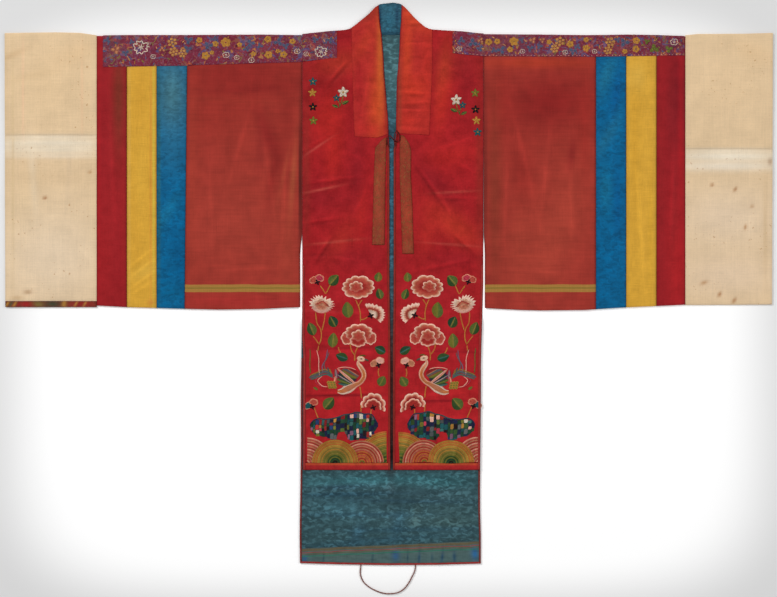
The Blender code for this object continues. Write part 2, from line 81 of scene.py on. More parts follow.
# How far apart the points of a cloth's grid are, how many rows a fold has, and the reach of the grids.
FRONT_STEP = 3.4
STRIPE_STEP = 3.4
CUFF_STEP = 4.4
SLEEVE_STEP = 5.0
COARSE_STEP = 24.0
FOLD_ROWS = 5
FRONT_WIDTH = 200
FRONT_LENGTH = 1020
CUFF_WIDTH = 200
AREA_CELLS = 41

# Points closer than this are one point: round a sleeve, on a cord, and in a stitched shape.
SLEEVE_JOIN = 0.02
CORD_JOIN = 0.005
STITCH_JOIN = 0.002

# How far a bead of binding, a hem band, a tie and the ties' loop differ in height from their layer.
BEAD_SINK = 0.3
BEAD_CROWN = 0.5
HEM_BAND_RISE = 0.3
TIE_CROWN = 0.3
TIE_LOOP_RISE = 0.4


def table(kind, rows):
    """Rows of plain values, with a name for each column."""
    return tuple(kind(*row) for row in rows)


# Outlines, as rows down the robe: where the left and the right edge are at each height.
Edge = namedtuple("Edge", "y left right")
BACK_OUTLINE = table(Edge, (
    (572, -195, 213),
    (0, -195, 212),
    (-60, -195.5, 210.5),
    (-125, -196.6, 208.4),
    (-180, -197.4, 207),
    (-260, -198.6, 206.9),
    (-350, -198.2, 206),
    (-395, -198.6, 205.5),
    (-460, -199.4, 204.8),
    (-510, -200.4, 205),
    (-565, -201, 206.6),
    (-640, -200, 206.5),
))
LEFT_FRONT_OUTLINE = table(Edge, (
    (640, -195, -24),
    (591, -195, -21),
    (565, -195, -17),
    (519, -195, -13),
    (478, -195, -11),
    (370, -195, -2),
    (336, -195, -1),
    (302, -195, 1),
    (0, -195, 1),
    (-60, -195, 2),
    (-120, -194.8, 3),
    (-160, -192.6, 3),
    (-420, -193, 3),
))
RIGHT_FRONT_OUTLINE = table(Edge, (
    (640, 29, 213),
    (591, 27, 213),
    (565, 25, 213),
    (519, 23, 213),
    (460, 18, 213),
    (370, 16, 213),
    (336, 16, 213),
    (302, 10.5, 213),
    (0, 10.5, 211.5),
    (-60, 10, 209.8),
    (-125, 9, 207.6),
    (-180, 9, 206.2),
    (-260, 9, 206),
    (-420, 9, 204.6),
))
LEFT_COLLAR_OUTLINE = table(Edge, (
    (640, -84, -26),
    (591, -84, -23),
    (565, -84, -19),
    (519, -83, -15),
    (478, -82, -13),
    (370, -79, -4),
    (325, -76, -3),
))
RIGHT_COLLAR_OUTLINE = table(Edge, (
    (640, 31, 97),
    (591, 29, 97),
    (565, 27, 97),
    (519, 25, 97),
    (460, 20, 96),
    (370, 18, 92),
    (325, 18, 90),
))
LEFT_TIE_OUTLINE = table(Edge, (
    (330, -10, -5),
    (323, -18, -5),
    (307, -31, -6),
    (246, -34, -8),
    (89, -38, -10),
))
RIGHT_TIE_OUTLINE = table(Edge, (
    (335, 25, 33),
    (316, 24, 46),
    (298, 24, 50),
    (246, 24, 49),
    (190, 26, 52),
    (69, 30, 56),
))

# Lines across the robe: how high each one is at places from left to right.
Height = namedtuple("Height", "x y")
NECK_LINE = table(Height, (
    (-195, 563),
    (-164, 566.3),
    (-137, 569.2),
    (-110, 571.4),
    (-97, 572.6),
    (-88, 575),
    (-76, 583),
    (-65, 592),
    (-54, 601),
    (-43, 610.5),
    (-32, 622.5),
    (-20, 630.5),
    (-9, 632),
    (10, 634),
    (26, 631),
    (36, 623),
    (47, 611),
    (58, 599),
    (70, 588),
    (81, 579),
    (92, 574),
    (104, 572.8),
    (142, 570.3),
    (169, 568.8),
    (196, 565.4),
    (213, 564),
))
HEM_LINE = table(Height, (
    (-200, -626.5),
    (-110, -629.3),
    (0, -631),
    (110, -630.2),
    (208, -627.5),
))
FACING_LINE = (Height(-200, -594), Height(208, -577))
COLLAR_FOOT_LINE = table(Height, (
    (-80, 333),
    (-28, 330),
    (-3, 338),
    (18, 340),
    (95, 336),
))
SHOULDER_LINE = 566
BACK_TOP = 562.5
NECK_SEAM = 561
NECK_SIDES = (-84, 92)
FRONT_HEM = -417
HEM_BAND_HEIGHT = 16

# The folded top and the sewn bottom of each sleeve.
Fold = namedtuple("Fold", "x low high")
LEFT_SLEEVE = table(Fold, (
    (-657, -47.5, 559),
    (-589, -51, 560),
    (-522, -53, 560),
    (-453, -55, 560),
    (-380, -56.6, 560.5),
    (-285, -55.2, 561),
    (-245, -53, 560.4),
    (-195, -51, 559.8),
))
RIGHT_SLEEVE = table(Fold, (
    (213, -53, 562),
    (250, -55.2, 561.7),
    (300, -57.6, 561.3),
    (340, -58.6, 561),
    (440, -57.6, 559.8),
    (485, -54.4, 560.2),
    (540, -51.2, 561),
    (601, -48.6, 560),
    (666, -45.5, 557.8),
))
LEFT_CUFF = table(Fold, (
    (-866, -37, 565.5),
    (-750, -37, 567.2),
    (-695, -37, 566),
    (-657, -37, 560.5),
))
RIGHT_CUFF = table(Fold, (
    (666, -46, 560.5),
    (695, -46, 563.5),
    (800, -45.5, 564),
    (866, -45, 566),
))
LEFT_TRIM = (Fold(-866, -51, -37.3), Fold(-657, -51, -37.3))

# The lengths that a sleeve is pieced from, from the body outwards: the seam at its top and bottom.
Length = namedtuple("Length", "name top bottom slot")
LEFT_LENGTHS = table(Length, (
    ("inner", -453, -459, "sleeve_gauze"),
    ("blue", -522, -522, "blue_damask"),
    ("yellow", -589, -589, "yellow_silk"),
    ("red", -657, -657, "stripe_silk"),
))
RIGHT_LENGTHS = table(Length, (
    ("inner", 465, 465, "sleeve_gauze"),
    ("blue", 533, 533, "blue_damask"),
    ("yellow", 601, 601, "yellow_silk"),
    ("red", 666, 666, "stripe_silk"),
))
SLIT_TOP = 114
SLIT_FOOT = 78
LEFT_SLIT = (-199.5, -195 - SEAM)
RIGHT_SLIT = (215.5, 213 + SEAM)
LEFT_CUFF_END = (-862.5, -864)
RIGHT_CUFF_END = (861, 863)
LEFT_CUFF_SEAM = 336
RIGHT_CUFF_SEAM = 305

# The flowered bands over the shoulders, in three lengths a side.
Band = namedtuple("Band", "name inner outer low_inner low_outer")
LEFT_BANDS = table(Band, (
    ("body", -117, -195, 510, 501),
    ("inner", -195.3, -443, 500, 493),
    ("outer", -443.3, -643, 492, 489),
))
RIGHT_BANDS = table(Band, (
    ("body", 143, 213, 520, 513),
    ("inner", 213.3, 463, 513, 512),
    ("outer", 463.3, 664, 512, 515),
))

PIPING = 4.2
CENTRE_BINDING = 4.6
SIDE_BINDING = 5.2
BINDING_TOP = 320
SIDE_BINDING_TOP = 44
LEFT_PIPING_TOP = -165
RIGHT_PIPING_TOP = -417.3

TIE_CORD = 2.4
HEM_CORD = 3.0
CORD_STEP = 2.0
TIE_LOOP_STEP = 1.2

Point = namedtuple("Point", "x y z")
# The little loop that holds the ties together, over the edges of both fronts.
TIE_LOOP_ROUTE = table(Point, (
    (1, 309, 0.0),
    (-4, 317, 0.1),
    (-3, 328, 0.2),
    (2, 334, 0.3),
    (7, 329, 0.3),
    (13, 323, 0.0),
    (22, 322, 0.0),
    (24, 332, 0.3),
    (18, 345, 1.4),
    (13, 337, 2.9),
    (12, 322, 3.0),
    (13, 310, 1.0),
))
# The hanging loop under the hem, as it lies on the surface.
HEM_LOOP_ROUTE = table(Point, (
    (-63.0, -630.4, 1.6),
    (-64.4, -642.0, 1.6),
    (-64.2, -653.0, 1.6),
    (-58.0, -668.0, 1.6),
    (-46.0, -679.5, 1.6),
    (-31.0, -688.0, 1.6),
    (-14.0, -694.0, 1.6),
    (4.0, -695.5, 1.6),
    (21.0, -692.5, 1.6),
    (34.5, -684.0, 1.6),
    (44.5, -671.0, 1.6),
    (52.5, -656.0, 1.6),
    (58.0, -644.0, 1.6),
    (60.0, -630.9, 1.6),
))

# The soft folds of the upper cloth: middle, direction in degrees, and size.
Crease = namedtuple("Crease", "x y turn length width height")
CREASES = table(Crease, (
    (-110, 452, 20, 90, 30, 0.9),
    (-120, 300, -12, 80, 34, 1.1),
    (-104, 150, 8, 100, 36, 1.2),
    (-90, 40, -38, 60, 28, 1.0),
    (-95, -38, 4, 90, 26, 0.9),
    (-92, -150, -5, 95, 30, 1.1),
    (-100, -262, 6, 90, 32, 1.0),
    (-90, -352, -3, 80, 28, 0.7),
    (112, 470, -18, 80, 30, 0.8),
    (130, 285, 14, 80, 34, 1.2),
    (108, 120, -9, 95, 36, 1.0),
    (118, 6, 7, 90, 28, 1.1),
    (105, -96, -6, 95, 30, 0.9),
    (112, -210, 5, 90, 32, 1.2),
    (104, -318, -4, 85, 30, 0.8),
    (-330, 395, 62, 150, 44, 1.5),
    (-300, 190, 78, 160, 50, 1.6),
    (-390, 90, 95, 120, 46, 1.3),
    (-255, 50, 100, 110, 40, 1.0),
    (-556, 300, 88, 190, 40, 1.2),
    (-620, 110, 96, 150, 36, 1.0),
    (-495, 120, 84, 160, 36, 1.1),
    (-760, 420, 12, 110, 44, 1.3),
    (-780, 190, -14, 100, 50, 1.5),
    (-720, 60, 70, 90, 40, 1.0),
    (300, 400, 112, 160, 46, 1.5),
    (360, 190, 96, 170, 50, 1.6),
    (420, 330, 80, 120, 42, 1.1),
    (270, 60, 84, 110, 40, 1.2),
    (566, 260, 92, 190, 40, 1.3),
    (500, 130, 94, 150, 36, 1.0),
    (634, 330, 86, 150, 34, 1.0),
    (750, 430, -10, 110, 46, 1.4),
    (790, 220, 16, 100, 48, 1.4),
    (730, 70, 100, 90, 40, 1.1),
))
LINING_CREASES = table(Crease, (
    (-60, -452, 3, 110, 16, 0.9),
    (110, -470, -4, 90, 17, 1.1),
    (-90, -512, -6, 80, 20, 0.8),
    (60, -528, 5, 110, 18, 0.9),
))
# Sharp little wrinkles, many of them a ridge with a trough beside it.
WRINKLES = table(Crease, (
    (-118, 478, 49, 30, 3.6, 0.9),
    (-112, 473, 49, 30, 3.8, -0.8),
    (-150, 505, 22, 26, 4.0, 0.6),
    (-127, 236, 7, 52, 3.4, 0.9),
    (-127, 229, 7, 52, 4.2, -0.7),
    (-152, 145, 8, 38, 3.4, 0.8),
    (-152, 139, 8, 38, 4.0, -0.6),
    (-148, 84, 56, 30, 3.6, 0.9),
    (-142, 80, 56, 30, 4.0, -0.9),
    (-168, 318, 30, 24, 4.0, 0.7),
    (-70, 286, -20, 26, 3.6, 0.6),
    (-62, 190, 64, 34, 4.2, 0.6),
    (-160, 66, -3, 30, 3.6, -0.8),
    (-120, 60, -6, 44, 3.6, 0.8),
    (-140, -249, 1, 46, 3.4, -0.9),
    (-120, -244, 1, 60, 3.6, 0.8),
    (-90, -64, 3, 70, 4.0, 0.6),
    (-60, -152, -4, 60, 3.8, 0.6),
    (-150, -140, 6, 40, 3.8, -0.5),
    (-70, -300, 3, 70, 4.0, 0.6),
    (103, 214, -55, 58, 4.2, 1.0),
    (97, 210, -55, 58, 4.0, -0.9),
    (145, 196, -2, 34, 3.4, 0.8),
    (145, 190, -2, 34, 4.0, -0.6),
    (168, 96, -41, 26, 4.0, 0.8),
    (163, 91, -41, 26, 4.0, -0.7),
    (150, 318, 18, 44, 4.2, 0.6),
    (176, 262, -28, 30, 3.8, 0.6),
    (120, 44, 12, 56, 4.0, 0.7),
    (118, 37, 12, 50, 4.0, -0.5),
    (150, 480, -30, 34, 4.0, 0.7),
    (155, 474, -30, 34, 4.0, -0.6),
    (120, -62, 2, 70, 3.8, 0.6),
    (90, -150, -3, 66, 3.8, 0.6),
    (140, -200, 2, 60, 4.0, -0.5),
    (110, -246, 3, 70, 3.6, 0.7),
    (130, -300, -2, 70, 4.0, 0.6),
    (56, 606, -8, 26, 3.2, 0.7),
    (58, 590, 5, 28, 3.2, 0.7),
    (60, 583, 5, 26, 3.2, -0.5),
    (60, 541, -4, 30, 3.4, 0.6),
    (56, 470, 3, 28, 3.4, 0.5),
    (54, 432, -3, 30, 3.2, 0.8),
    (54, 425, -3, 28, 3.2, -0.5),
    (58, 410, 4, 28, 3.2, 0.7),
    (58, 402, 4, 30, 3.2, -0.8),
    (56, 392, -2, 30, 3.2, 0.8),
    (54, 371, 3, 28, 3.4, 0.7),
    (52, 350, -3, 30, 3.4, 0.7),
    (-46, 588, 30, 24, 3.4, 0.6),
    (-50, 530, -12, 26, 3.6, 0.5),
    (-50, 440, 82, 60, 4.0, 0.5),
    (-44, 384, 6, 26, 3.6, 0.5),
))
# Wrinkles of the sleeves and the cuffs.
SLEEVE_WRINKLES = table(Crease, (
    (-330, 330, 74, 90, 5.0, 0.6),
    (-270, 250, 98, 100, 5.0, 0.6),
    (-236, 190, 88, 90, 4.6, 0.7),
    (-300, 36, 4, 70, 4.6, 0.6),
    (-400, 180, 92, 120, 5.0, 0.5),
    (-560, 58, 38, 34, 3.4, 0.6),
    (-556, 36, 36, 34, 3.4, 0.6),
    (-552, 12, 34, 34, 3.4, 0.6),
    (-560, -10, 30, 30, 3.4, 0.5),
    (-488, 420, 86, 80, 4.6, 0.5),
    (-622, 260, 92, 120, 4.6, 0.5),
    (-760, 318, 2, 90, 5.0, 0.9),
    (-760, 352, 1, 90, 4.6, -0.5),
    (-720, 480, 66, 60, 5.0, 0.6),
    (-800, 130, 24, 70, 5.0, 0.7),
    (-706, 230, 100, 80, 5.0, 0.6),
    (-790, 20, -8, 60, 5.0, 0.6),
    (300, 300, 104, 110, 5.0, 0.7),
    (262, 180, 88, 120, 5.0, 0.6),
    (350, 240, 84, 110, 5.0, 0.6),
    (410, 160, 92, 100, 4.6, 0.5),
    (330, 30, -4, 70, 4.6, 0.6),
    (566, 120, 94, 110, 4.6, 0.5),
    (500, 320, 90, 90, 4.6, 0.5),
    (636, 200, 88, 110, 4.6, 0.6),
    (760, 288, -2, 90, 5.0, 0.9),
    (760, 322, -1, 90, 4.6, -0.5),
    (800, 460, 112, 60, 5.0, 0.6),
    (730, 170, -28, 70, 5.0, 0.7),
    (812, 100, 84, 80, 5.0, 0.6),
))
# Puckers of the hem facing, where it is eased to the curve of the hem.
PUCKERS = table(Crease, (
    (-190, -617, 80, 9, 4.0, 0.5),
    (-147, -613, 84, 9, 3.4, 0.5),
    (-37, -613, 86, 9, 3.0, 0.4),
    (15, -608, 92, 11, 6.0, 0.7),
    (42, -611, 88, 9, 3.0, 0.5),
    (68, -611, 86, 9, 3.4, 0.5),
    (97, -612, 90, 9, 3.0, 0.4),
    (120, -610, 84, 10, 3.4, 0.6),
    (147, -611, 92, 9, 3.6, 0.5),
    (193, -604, 96, 13, 7.0, 0.8),
))


def light(colour):
    """A colour as the eye reads it, turned into linear light."""
    value = np.asarray(colour, float) / 255.0
    return np.where(value <= 0.04045, value / 12.92, ((value + 0.055) / 1.055) ** 2.4)


def blend(start, end, share):
    return start + (end - start) * share


def column(rows, value):
    """One column of a table as a function of its first column, held level past its ends."""
    ordered = sorted(rows)
    places = [row[0] for row in ordered]
    values = [getattr(row, value) for row in ordered]
    return lambda place: np.interp(place, places, values)


def inset(edge, width):
    return lambda place: edge(place) + width


def level(height):
    return lambda place: np.full(np.shape(place), float(height))


def slope(low_place, low_value, high_place, high_value):
    """A straight edge through two places, as a function of the place."""
    rate = (high_value - low_value) / (high_place - low_place)
    return lambda place: low_value + rate * (place - low_place)


def spot(row, x, y):
    """How strongly a long soft spot shows at each place, from 0 to 1."""
    turn = math.radians(row.turn)
    along = (x - row.x) * math.cos(turn) + (y - row.y) * math.sin(turn)
    across = (y - row.y) * math.cos(turn) - (x - row.x) * math.sin(turn)
    return np.exp(-(along / row.length) ** 2 - (across / row.width) ** 2)


def crease_height(creases, x, y):
    total = np.zeros(np.shape(x))
    for crease in creases:
        total = total + crease.height * spot(crease, x, y)
    return total


def fade_in(distance, width=FADE):
    """0 at an edge, and 1 from a width away on, with a soft rise between."""
    share = np.clip(distance / width, 0.0, 1.0)
    return share * share * (3 - 2 * share)


def soft_folds(x, y):
    return MAX_LIFT * np.tanh(crease_height(CREASES, x, y) / MAX_LIFT)


def front_lift(x, y):
    """The folds of a front, which lies flat again at its hem, its shoulder and its side."""
    to_side = np.minimum(x - BACK_OUTLINE[0].left, BACK_OUTLINE[0].right - x)
    edge = fade_in(to_side) * fade_in(y - FRONT_HEM) * fade_in(SHOULDER_LINE - y)
    near = fade_in(to_side, WRINKLE_FADE) * fade_in(y - FRONT_HEM, WRINKLE_FADE)
    fine = crease_height(WRINKLES, x, y) * near * fade_in(column(NECK_LINE, "y")(x) - y, WRINKLE_FADE)
    return np.maximum(soft_folds(x, y) * edge + fine, LOWEST_DIP)


def sleeve_lift(x, y):
    """The folds of a sleeve, which lies flat at its fold and its seam, and next to the body."""
    left = x < 0
    low = np.where(left, column(LEFT_SLEEVE, "low")(x), column(RIGHT_SLEEVE, "low")(x))
    high = np.where(left, column(LEFT_SLEEVE, "high")(x), column(RIGHT_SLEEVE, "high")(x))
    to_body = np.where(left, BACK_OUTLINE[0].left - x, x - BACK_OUTLINE[0].right)
    edge = fade_in(y - low) * fade_in(high - y) * fade_in(to_body)
    near = fade_in(y - low, WRINKLE_FADE) * fade_in(high - y, WRINKLE_FADE) * fade_in(to_body, WRINKLE_FADE)
    fine = crease_height(SLEEVE_WRINKLES, x, y) * near
    return np.maximum(soft_folds(x, y) * edge + fine, LOWEST_DIP)


def lining_lift(x, y):
    """The folds of the lining, only below the hems of the fronts."""
    edge = fade_in((FRONT_HEM - y) * 2) * fade_in((y - column(FACING_LINE, "y")(x)) * 2)
    to_side = np.minimum(x - BACK_OUTLINE[-1].left, BACK_OUTLINE[-1].right - x)
    return crease_height(LINING_CREASES, x, y) * edge * fade_in(to_side)


def pucker_lift(x, y):
    return crease_height(PUCKERS, x, y)


def no_lift(x, y):
    return np.zeros(np.shape(x))


Shade = namedtuple("Shade", "x y turn length width colour strength")


def dyed(base, shades=(), creases=()):
    """A cloth's colour at each place: its dye with soft patches on it, some of them painted shade, and
    painted shade in its creases with painted highlight on their ridges.
    """
    def tint(x, y):
        colour = np.tile(light(base), (len(x), 1))
        for shade in shades:
            share = shade.strength * spot(shade, x, y)
            colour += share[:, None] * (light(shade.colour) - colour)
        # Painted shade in the troughs of the creases, and painted highlight on their ridges.
        wear_and_painted_shade = CREASE_PAINTED_SHADE * np.clip(crease_height(creases, x, y), -1.2, 0.8)
        return colour * (1 + wear_and_painted_shade)[:, None]
    return tint


CRIMSON = (162, 28, 33)
BRIGHT = (192, 40, 32)
ORANGE_RED = (196, 66, 38)
DEEP_RED = (128, 22, 32)
BROWN_RED = (126, 46, 34)
FRONT_SHADES = table(Shade, (
    # Painted shade: a darker patch on the upper left front that offsets the key light's bright spot there.
    (-140, 440, 90, 130, 50, (116, 14, 24), 0.6),
    (-140, 380, 80, 70, 34, BRIGHT, 0.55),
    (-110, 500, 10, 60, 30, ORANGE_RED, 0.35),
    (-160, 530, 30, 50, 22, DEEP_RED, 0.4),
    (-124, 296, 85, 80, 20, BRIGHT, 0.5),
    (-150, 196, 12, 60, 40, DEEP_RED, 0.5),
    (-72, 252, 88, 90, 18, DEEP_RED, 0.5),
    (-110, 96, 60, 60, 24, (172, 46, 34), 0.5),
    (-80, 60, 0, 90, 26, DEEP_RED, 0.4),
    (-60, 160, 84, 60, 14, BRIGHT, 0.3),
    (-185, 260, 90, 200, 8, BROWN_RED, 0.4),
    (-100, -20, 0, 90, 60, (170, 30, 38), 0.6),
    (-100, -150, 0, 90, 80, (178, 30, 40), 0.6),
    (-100, -290, 0, 90, 70, (186, 34, 40), 0.6),
    (-60, -228, 0, 40, 16, (198, 40, 38), 0.5),
    (150, 500, 0, 60, 40, (140, 36, 34), 0.5),
    (122, 470, 84, 80, 16, ORANGE_RED, 0.5),
    (120, 400, 80, 60, 18, BRIGHT, 0.5),
    (178, 440, 90, 80, 20, DEEP_RED, 0.35),
    # Painted shade along a diagonal crease of the right front.
    (100, 236, -50, 90, 24, DEEP_RED, 0.6),
    (140, 290, 10, 70, 26, BRIGHT, 0.35),
    (150, 130, -36, 70, 30, (190, 56, 36), 0.6),
    (86, 120, 80, 60, 22, (180, 44, 34), 0.5),
    (150, 60, 0, 70, 20, DEEP_RED, 0.35),
    (203, 260, 90, 200, 8, BROWN_RED, 0.4),
    (110, -30, 0, 90, 60, (168, 30, 38), 0.6),
    (110, -150, 0, 90, 80, (178, 30, 40), 0.6),
    (110, -300, 0, 90, 70, (184, 34, 40), 0.6),
    (140, -226, 0, 50, 18, (196, 40, 38), 0.5),
))
# Thin lines across the fronts: the dark ones are painted shade in fine creases, and the pale ones are thin
# paler lines.
FRONT_LINES = table(Shade, (
    (-95, -143, 2, 88, 2.4, (116, 14, 26), 0.7),
    (-95, -249, 1, 88, 2.6, (104, 12, 24), 0.8),
    (-150, -60, -3, 44, 2.4, (188, 60, 60), 0.5),
    (-120, 96, 6, 60, 2.4, (196, 84, 70), 0.5),
    (-150, 214, 12, 40, 2.4, (198, 90, 76), 0.5),
    (-160, 310, 34, 34, 2.4, (196, 84, 74), 0.5),
    (110, -150, -2, 88, 2.4, (116, 14, 26), 0.7),
    (112, -262, 1, 88, 2.4, (106, 12, 24), 0.7),
    (140, 90, -4, 60, 2.4, (194, 80, 68), 0.5),
    (150, 208, 3, 44, 2.4, (196, 86, 72), 0.5),
))
COLLAR_SHADES = table(Shade, (
    # Painted shade along both edges of the V, from the thickness of the collars' edges.
    (-12.5, 470, 93.4, 140, 2.0, (84, 30, 20), 0.75),
    (20.5, 470, 88.4, 140, 2.0, (96, 34, 24), 0.75),
    # Painted shade in the collars' small wrinkles, as thin dark lines.
    (48, 545, 3, 30, 2.4, (128, 26, 24), 0.6),
    (50, 512, -4, 28, 2.4, (132, 28, 24), 0.5),
    (44, 470, 5, 26, 2.4, (138, 30, 26), 0.5),
    (52, 446, -2, 30, 2.4, (130, 26, 26), 0.6),
    (48, 424, 4, 30, 2.4, (128, 26, 26), 0.6),
    (50, 396, 0, 30, 2.4, (126, 24, 26), 0.6),
    (46, 372, 5, 28, 2.4, (130, 26, 26), 0.6),
    (-44, 520, -6, 24, 2.4, (140, 34, 26), 0.5),
    (-42, 458, 5, 26, 2.4, (138, 32, 26), 0.5),
    (-40, 398, -3, 26, 2.4, (136, 30, 26), 0.5),
    (-19, 500, 90, 160, 9, (196, 96, 40), 0.8),
    (-30, 400, 88, 80, 16, (205, 76, 34), 0.6),
    (-68, 470, 90, 120, 14, (166, 32, 36), 0.7),
    (-56, 540, 60, 50, 16, (188, 60, 36), 0.5),
    (-50, 350, 0, 40, 14, (186, 40, 36), 0.5),
    (-40, 606, 40, 30, 12, (150, 52, 36), 0.5),
    (60, 600, -30, 50, 24, (200, 72, 38), 0.6),
    (40, 520, 88, 90, 12, (206, 70, 36), 0.6),
    (84, 470, 90, 110, 12, (188, 44, 34), 0.5),
    (56, 440, 0, 30, 30, (204, 56, 34), 0.6),
    (40, 366, 0, 26, 24, (196, 48, 34), 0.5),
    (24, 420, 90, 120, 5, (140, 60, 40), 0.6),
))
LINING_SHADES = table(Shade, (
    (-40, -440, 2, 190, 12, (52, 104, 112), 0.6),
    (-110, -456, 2, 60, 6, (38, 60, 78), 0.6),
    (120, -446, 0, 70, 12, (46, 98, 104), 0.4),
    (60, -470, -4, 90, 14, (44, 66, 74), 0.5),
    (-110, -500, 0, 70, 26, (54, 92, 104), 0.5),
    (-70, -560, 60, 24, 14, (38, 74, 98), 0.35),
    (20, -540, 75, 34, 14, (38, 76, 98), 0.3),
    (60, -525, 80, 34, 10, (68, 82, 72), 0.25),
    (140, -530, 0, 60, 30, (64, 88, 86), 0.4),
    (-20, -576, 5, 180, 8, (40, 80, 100), 0.35),
    (4, 200, 90, 240, 14, (50, 94, 118), 0.65),
    # Painted shadow under the little tie loop.
    (4, 345, 90, 14, 10, (22, 40, 54), 0.8),
    (6, 480, 90, 90, 30, (72, 108, 112), 0.7),
    # Painted shadow in the narrow gap between the two fronts, dark brown down to near black.
    (5, -210, 90, 150, 10, (66, 24, 18), 0.95),
    (5, -330, 90, 64, 10, (58, 20, 16), 0.9),
    (5, -384, 90, 30, 9, (16, 12, 12), 0.97),
    # Painted shade in four long horizontal folds of the lining.
    (-100, -472, 1, 110, 5, (34, 66, 84), 0.7),
    (40, -487, -1, 150, 4, (36, 62, 78), 0.6),
    (-60, -518, 0, 170, 5, (44, 76, 92), 0.5),
    (60, -551, 1, 150, 5, (42, 78, 96), 0.5),
))
FACING_SHADES = table(Shade, (
    (-190, -617, 80, 12, 7, (28, 74, 116), 0.8),
    (-147, -613, 84, 14, 2.6, (26, 56, 70), 0.9),
    (-37, -613, 86, 14, 2.4, (26, 56, 70), 0.85),
    (15, -608, 92, 13, 9, (22, 70, 118), 0.85),
    (42, -611, 88, 14, 2.6, (26, 56, 72), 0.85),
    (68, -611, 86, 16, 3, (20, 58, 86), 0.9),
    (97, -612, 90, 12, 2.6, (26, 56, 72), 0.8),
    (120, -610, 84, 17, 3.4, (20, 58, 86), 0.9),
    (147, -611, 92, 15, 4, (22, 60, 86), 0.85),
    (193, -604, 96, 15, 8, (18, 86, 140), 0.85),
    (-100, -612, 0, 60, 8, (84, 100, 92), 0.4),
    (90, -604, 2, 90, 6, (84, 104, 100), 0.4),
))
NECK_SHADES = table(Shade, (
    # Painted shade in two small folds of the neck facing.
    (-20, 600, 90, 30, 3.0, (22, 40, 66), 0.8),
    (18, 604, 90, 30, 3.4, (22, 42, 66), 0.8),
    (0, 590, 0, 12, 16, (46, 108, 132), 0.5),
    (0, 566, 0, 40, 3.4, (26, 60, 80), 0.7),
))
GAUZE_SHADES = table(Shade, (
    (-300, 440, 4, 110, 7, (118, 26, 26), 0.6),
    (-330, 412, -3, 120, 6, (164, 60, 44), 0.5),
    (-270, 330, 112, 70, 16, (130, 26, 28), 0.7),
    (-262, 240, 80, 60, 9, (134, 28, 28), 0.7),
    (-216, 235, 86, 80, 6, (176, 88, 56), 0.7),
    (-236, 250, 78, 60, 4, (166, 74, 50), 0.6),
    (-330, 470, 0, 160, 60, (138, 32, 30), 0.75),
    (-230, 380, 88, 120, 24, (140, 38, 32), 0.6),
    (-380, 380, 20, 90, 50, (150, 42, 34), 0.5),
    (-290, 300, 84, 70, 12, (128, 34, 32), 0.45),
    (-252, 290, 96, 80, 9, (132, 34, 30), 0.5),
    (-270, 214, 90, 60, 8, (134, 38, 32), 0.4),
    (-350, 130, 0, 120, 110, (168, 64, 50), 0.5),
    (-230, 90, 90, 120, 20, (164, 62, 46), 0.5),
    (-440, 250, 90, 220, 12, (168, 60, 44), 0.4),
    (-330, -38, 0, 160, 16, (170, 42, 42), 0.6),
    (330, 498, 0, 130, 12, (184, 62, 38), 0.8),
    (360, 410, 6, 120, 70, (134, 28, 28), 0.85),
    (250, 420, 90, 90, 24, (152, 40, 34), 0.6),
    (238, 200, 90, 230, 15, (132, 52, 36), 0.7),
    (300, 250, 100, 80, 30, (150, 40, 34), 0.6),
    (411, 291, 82, 34, 9, (130, 28, 30), 0.85),
    (440, 330, 90, 120, 16, (160, 40, 34), 0.5),
    (370, 110, 70, 160, 60, (172, 66, 50), 0.7),
    (290, 90, 80, 90, 30, (162, 62, 46), 0.5),
    (340, -38, 0, 160, 16, (164, 52, 44), 0.5),
    # Painted shade along the seams between the sleeves and the body.
    (-200, 230, 90, 150, 2.2, (56, 20, 22), 0.9),
    (216.5, 260, 90, 180, 2.2, (66, 22, 24), 0.8),
))
BLUE_SHADES = table(Shade, (
    (-488, 430, 90, 100, 40, (66, 112, 122), 0.85),
    (-488, 300, 90, 60, 34, (36, 104, 136), 0.4),
    (-500, 160, 60, 50, 14, (24, 116, 152), 0.5),
    (-472, 60, 100, 60, 14, (0, 84, 132), 0.5),
    (-517, 250, 90, 300, 3.4, (44, 96, 96), 0.7),
    (-489, -20, 0, 30, 20, (8, 104, 146), 0.4),
    (488, 470, 70, 50, 16, (32, 112, 140), 0.6),
    (512, 430, 80, 50, 12, (4, 80, 140), 0.5),
    (490, 330, 60, 60, 14, (34, 110, 140), 0.5),
    (486, 214, 90, 50, 16, (24, 114, 146), 0.5),
    (514, 180, 90, 80, 10, (0, 84, 142), 0.5),
    (500, 60, 80, 70, 18, (4, 100, 150), 0.4),
))
YELLOW_SHADES = table(Shade, (
    (-529, 250, 90, 320, 2.4, (206, 188, 70), 0.8),
    (-535, 250, 90, 320, 1.8, (212, 132, 56), 0.7),
    (-584, 250, 90, 320, 2.4, (218, 178, 96), 0.5),
    (-560, 420, 90, 90, 18, (202, 148, 48), 0.5),
    (-556, 250, 88, 100, 12, (220, 170, 62), 0.5),
    (-568, 100, 92, 90, 12, (206, 152, 50), 0.4),
    (-550, 30, 30, 34, 14, (222, 178, 74), 0.5),
    (-534, -40, 0, 8, 6, (206, 120, 60), 0.5),
    (556, 470, 0, 24, 34, (222, 178, 78), 0.6),
    (580, 300, 90, 200, 8, (218, 166, 60), 0.5),
    (552, 300, 90, 160, 7, (204, 150, 44), 0.4),
    (590, 120, 90, 120, 7, (222, 168, 48), 0.4),
    (596, 260, 90, 320, 2.4, (204, 156, 60), 0.5),
))
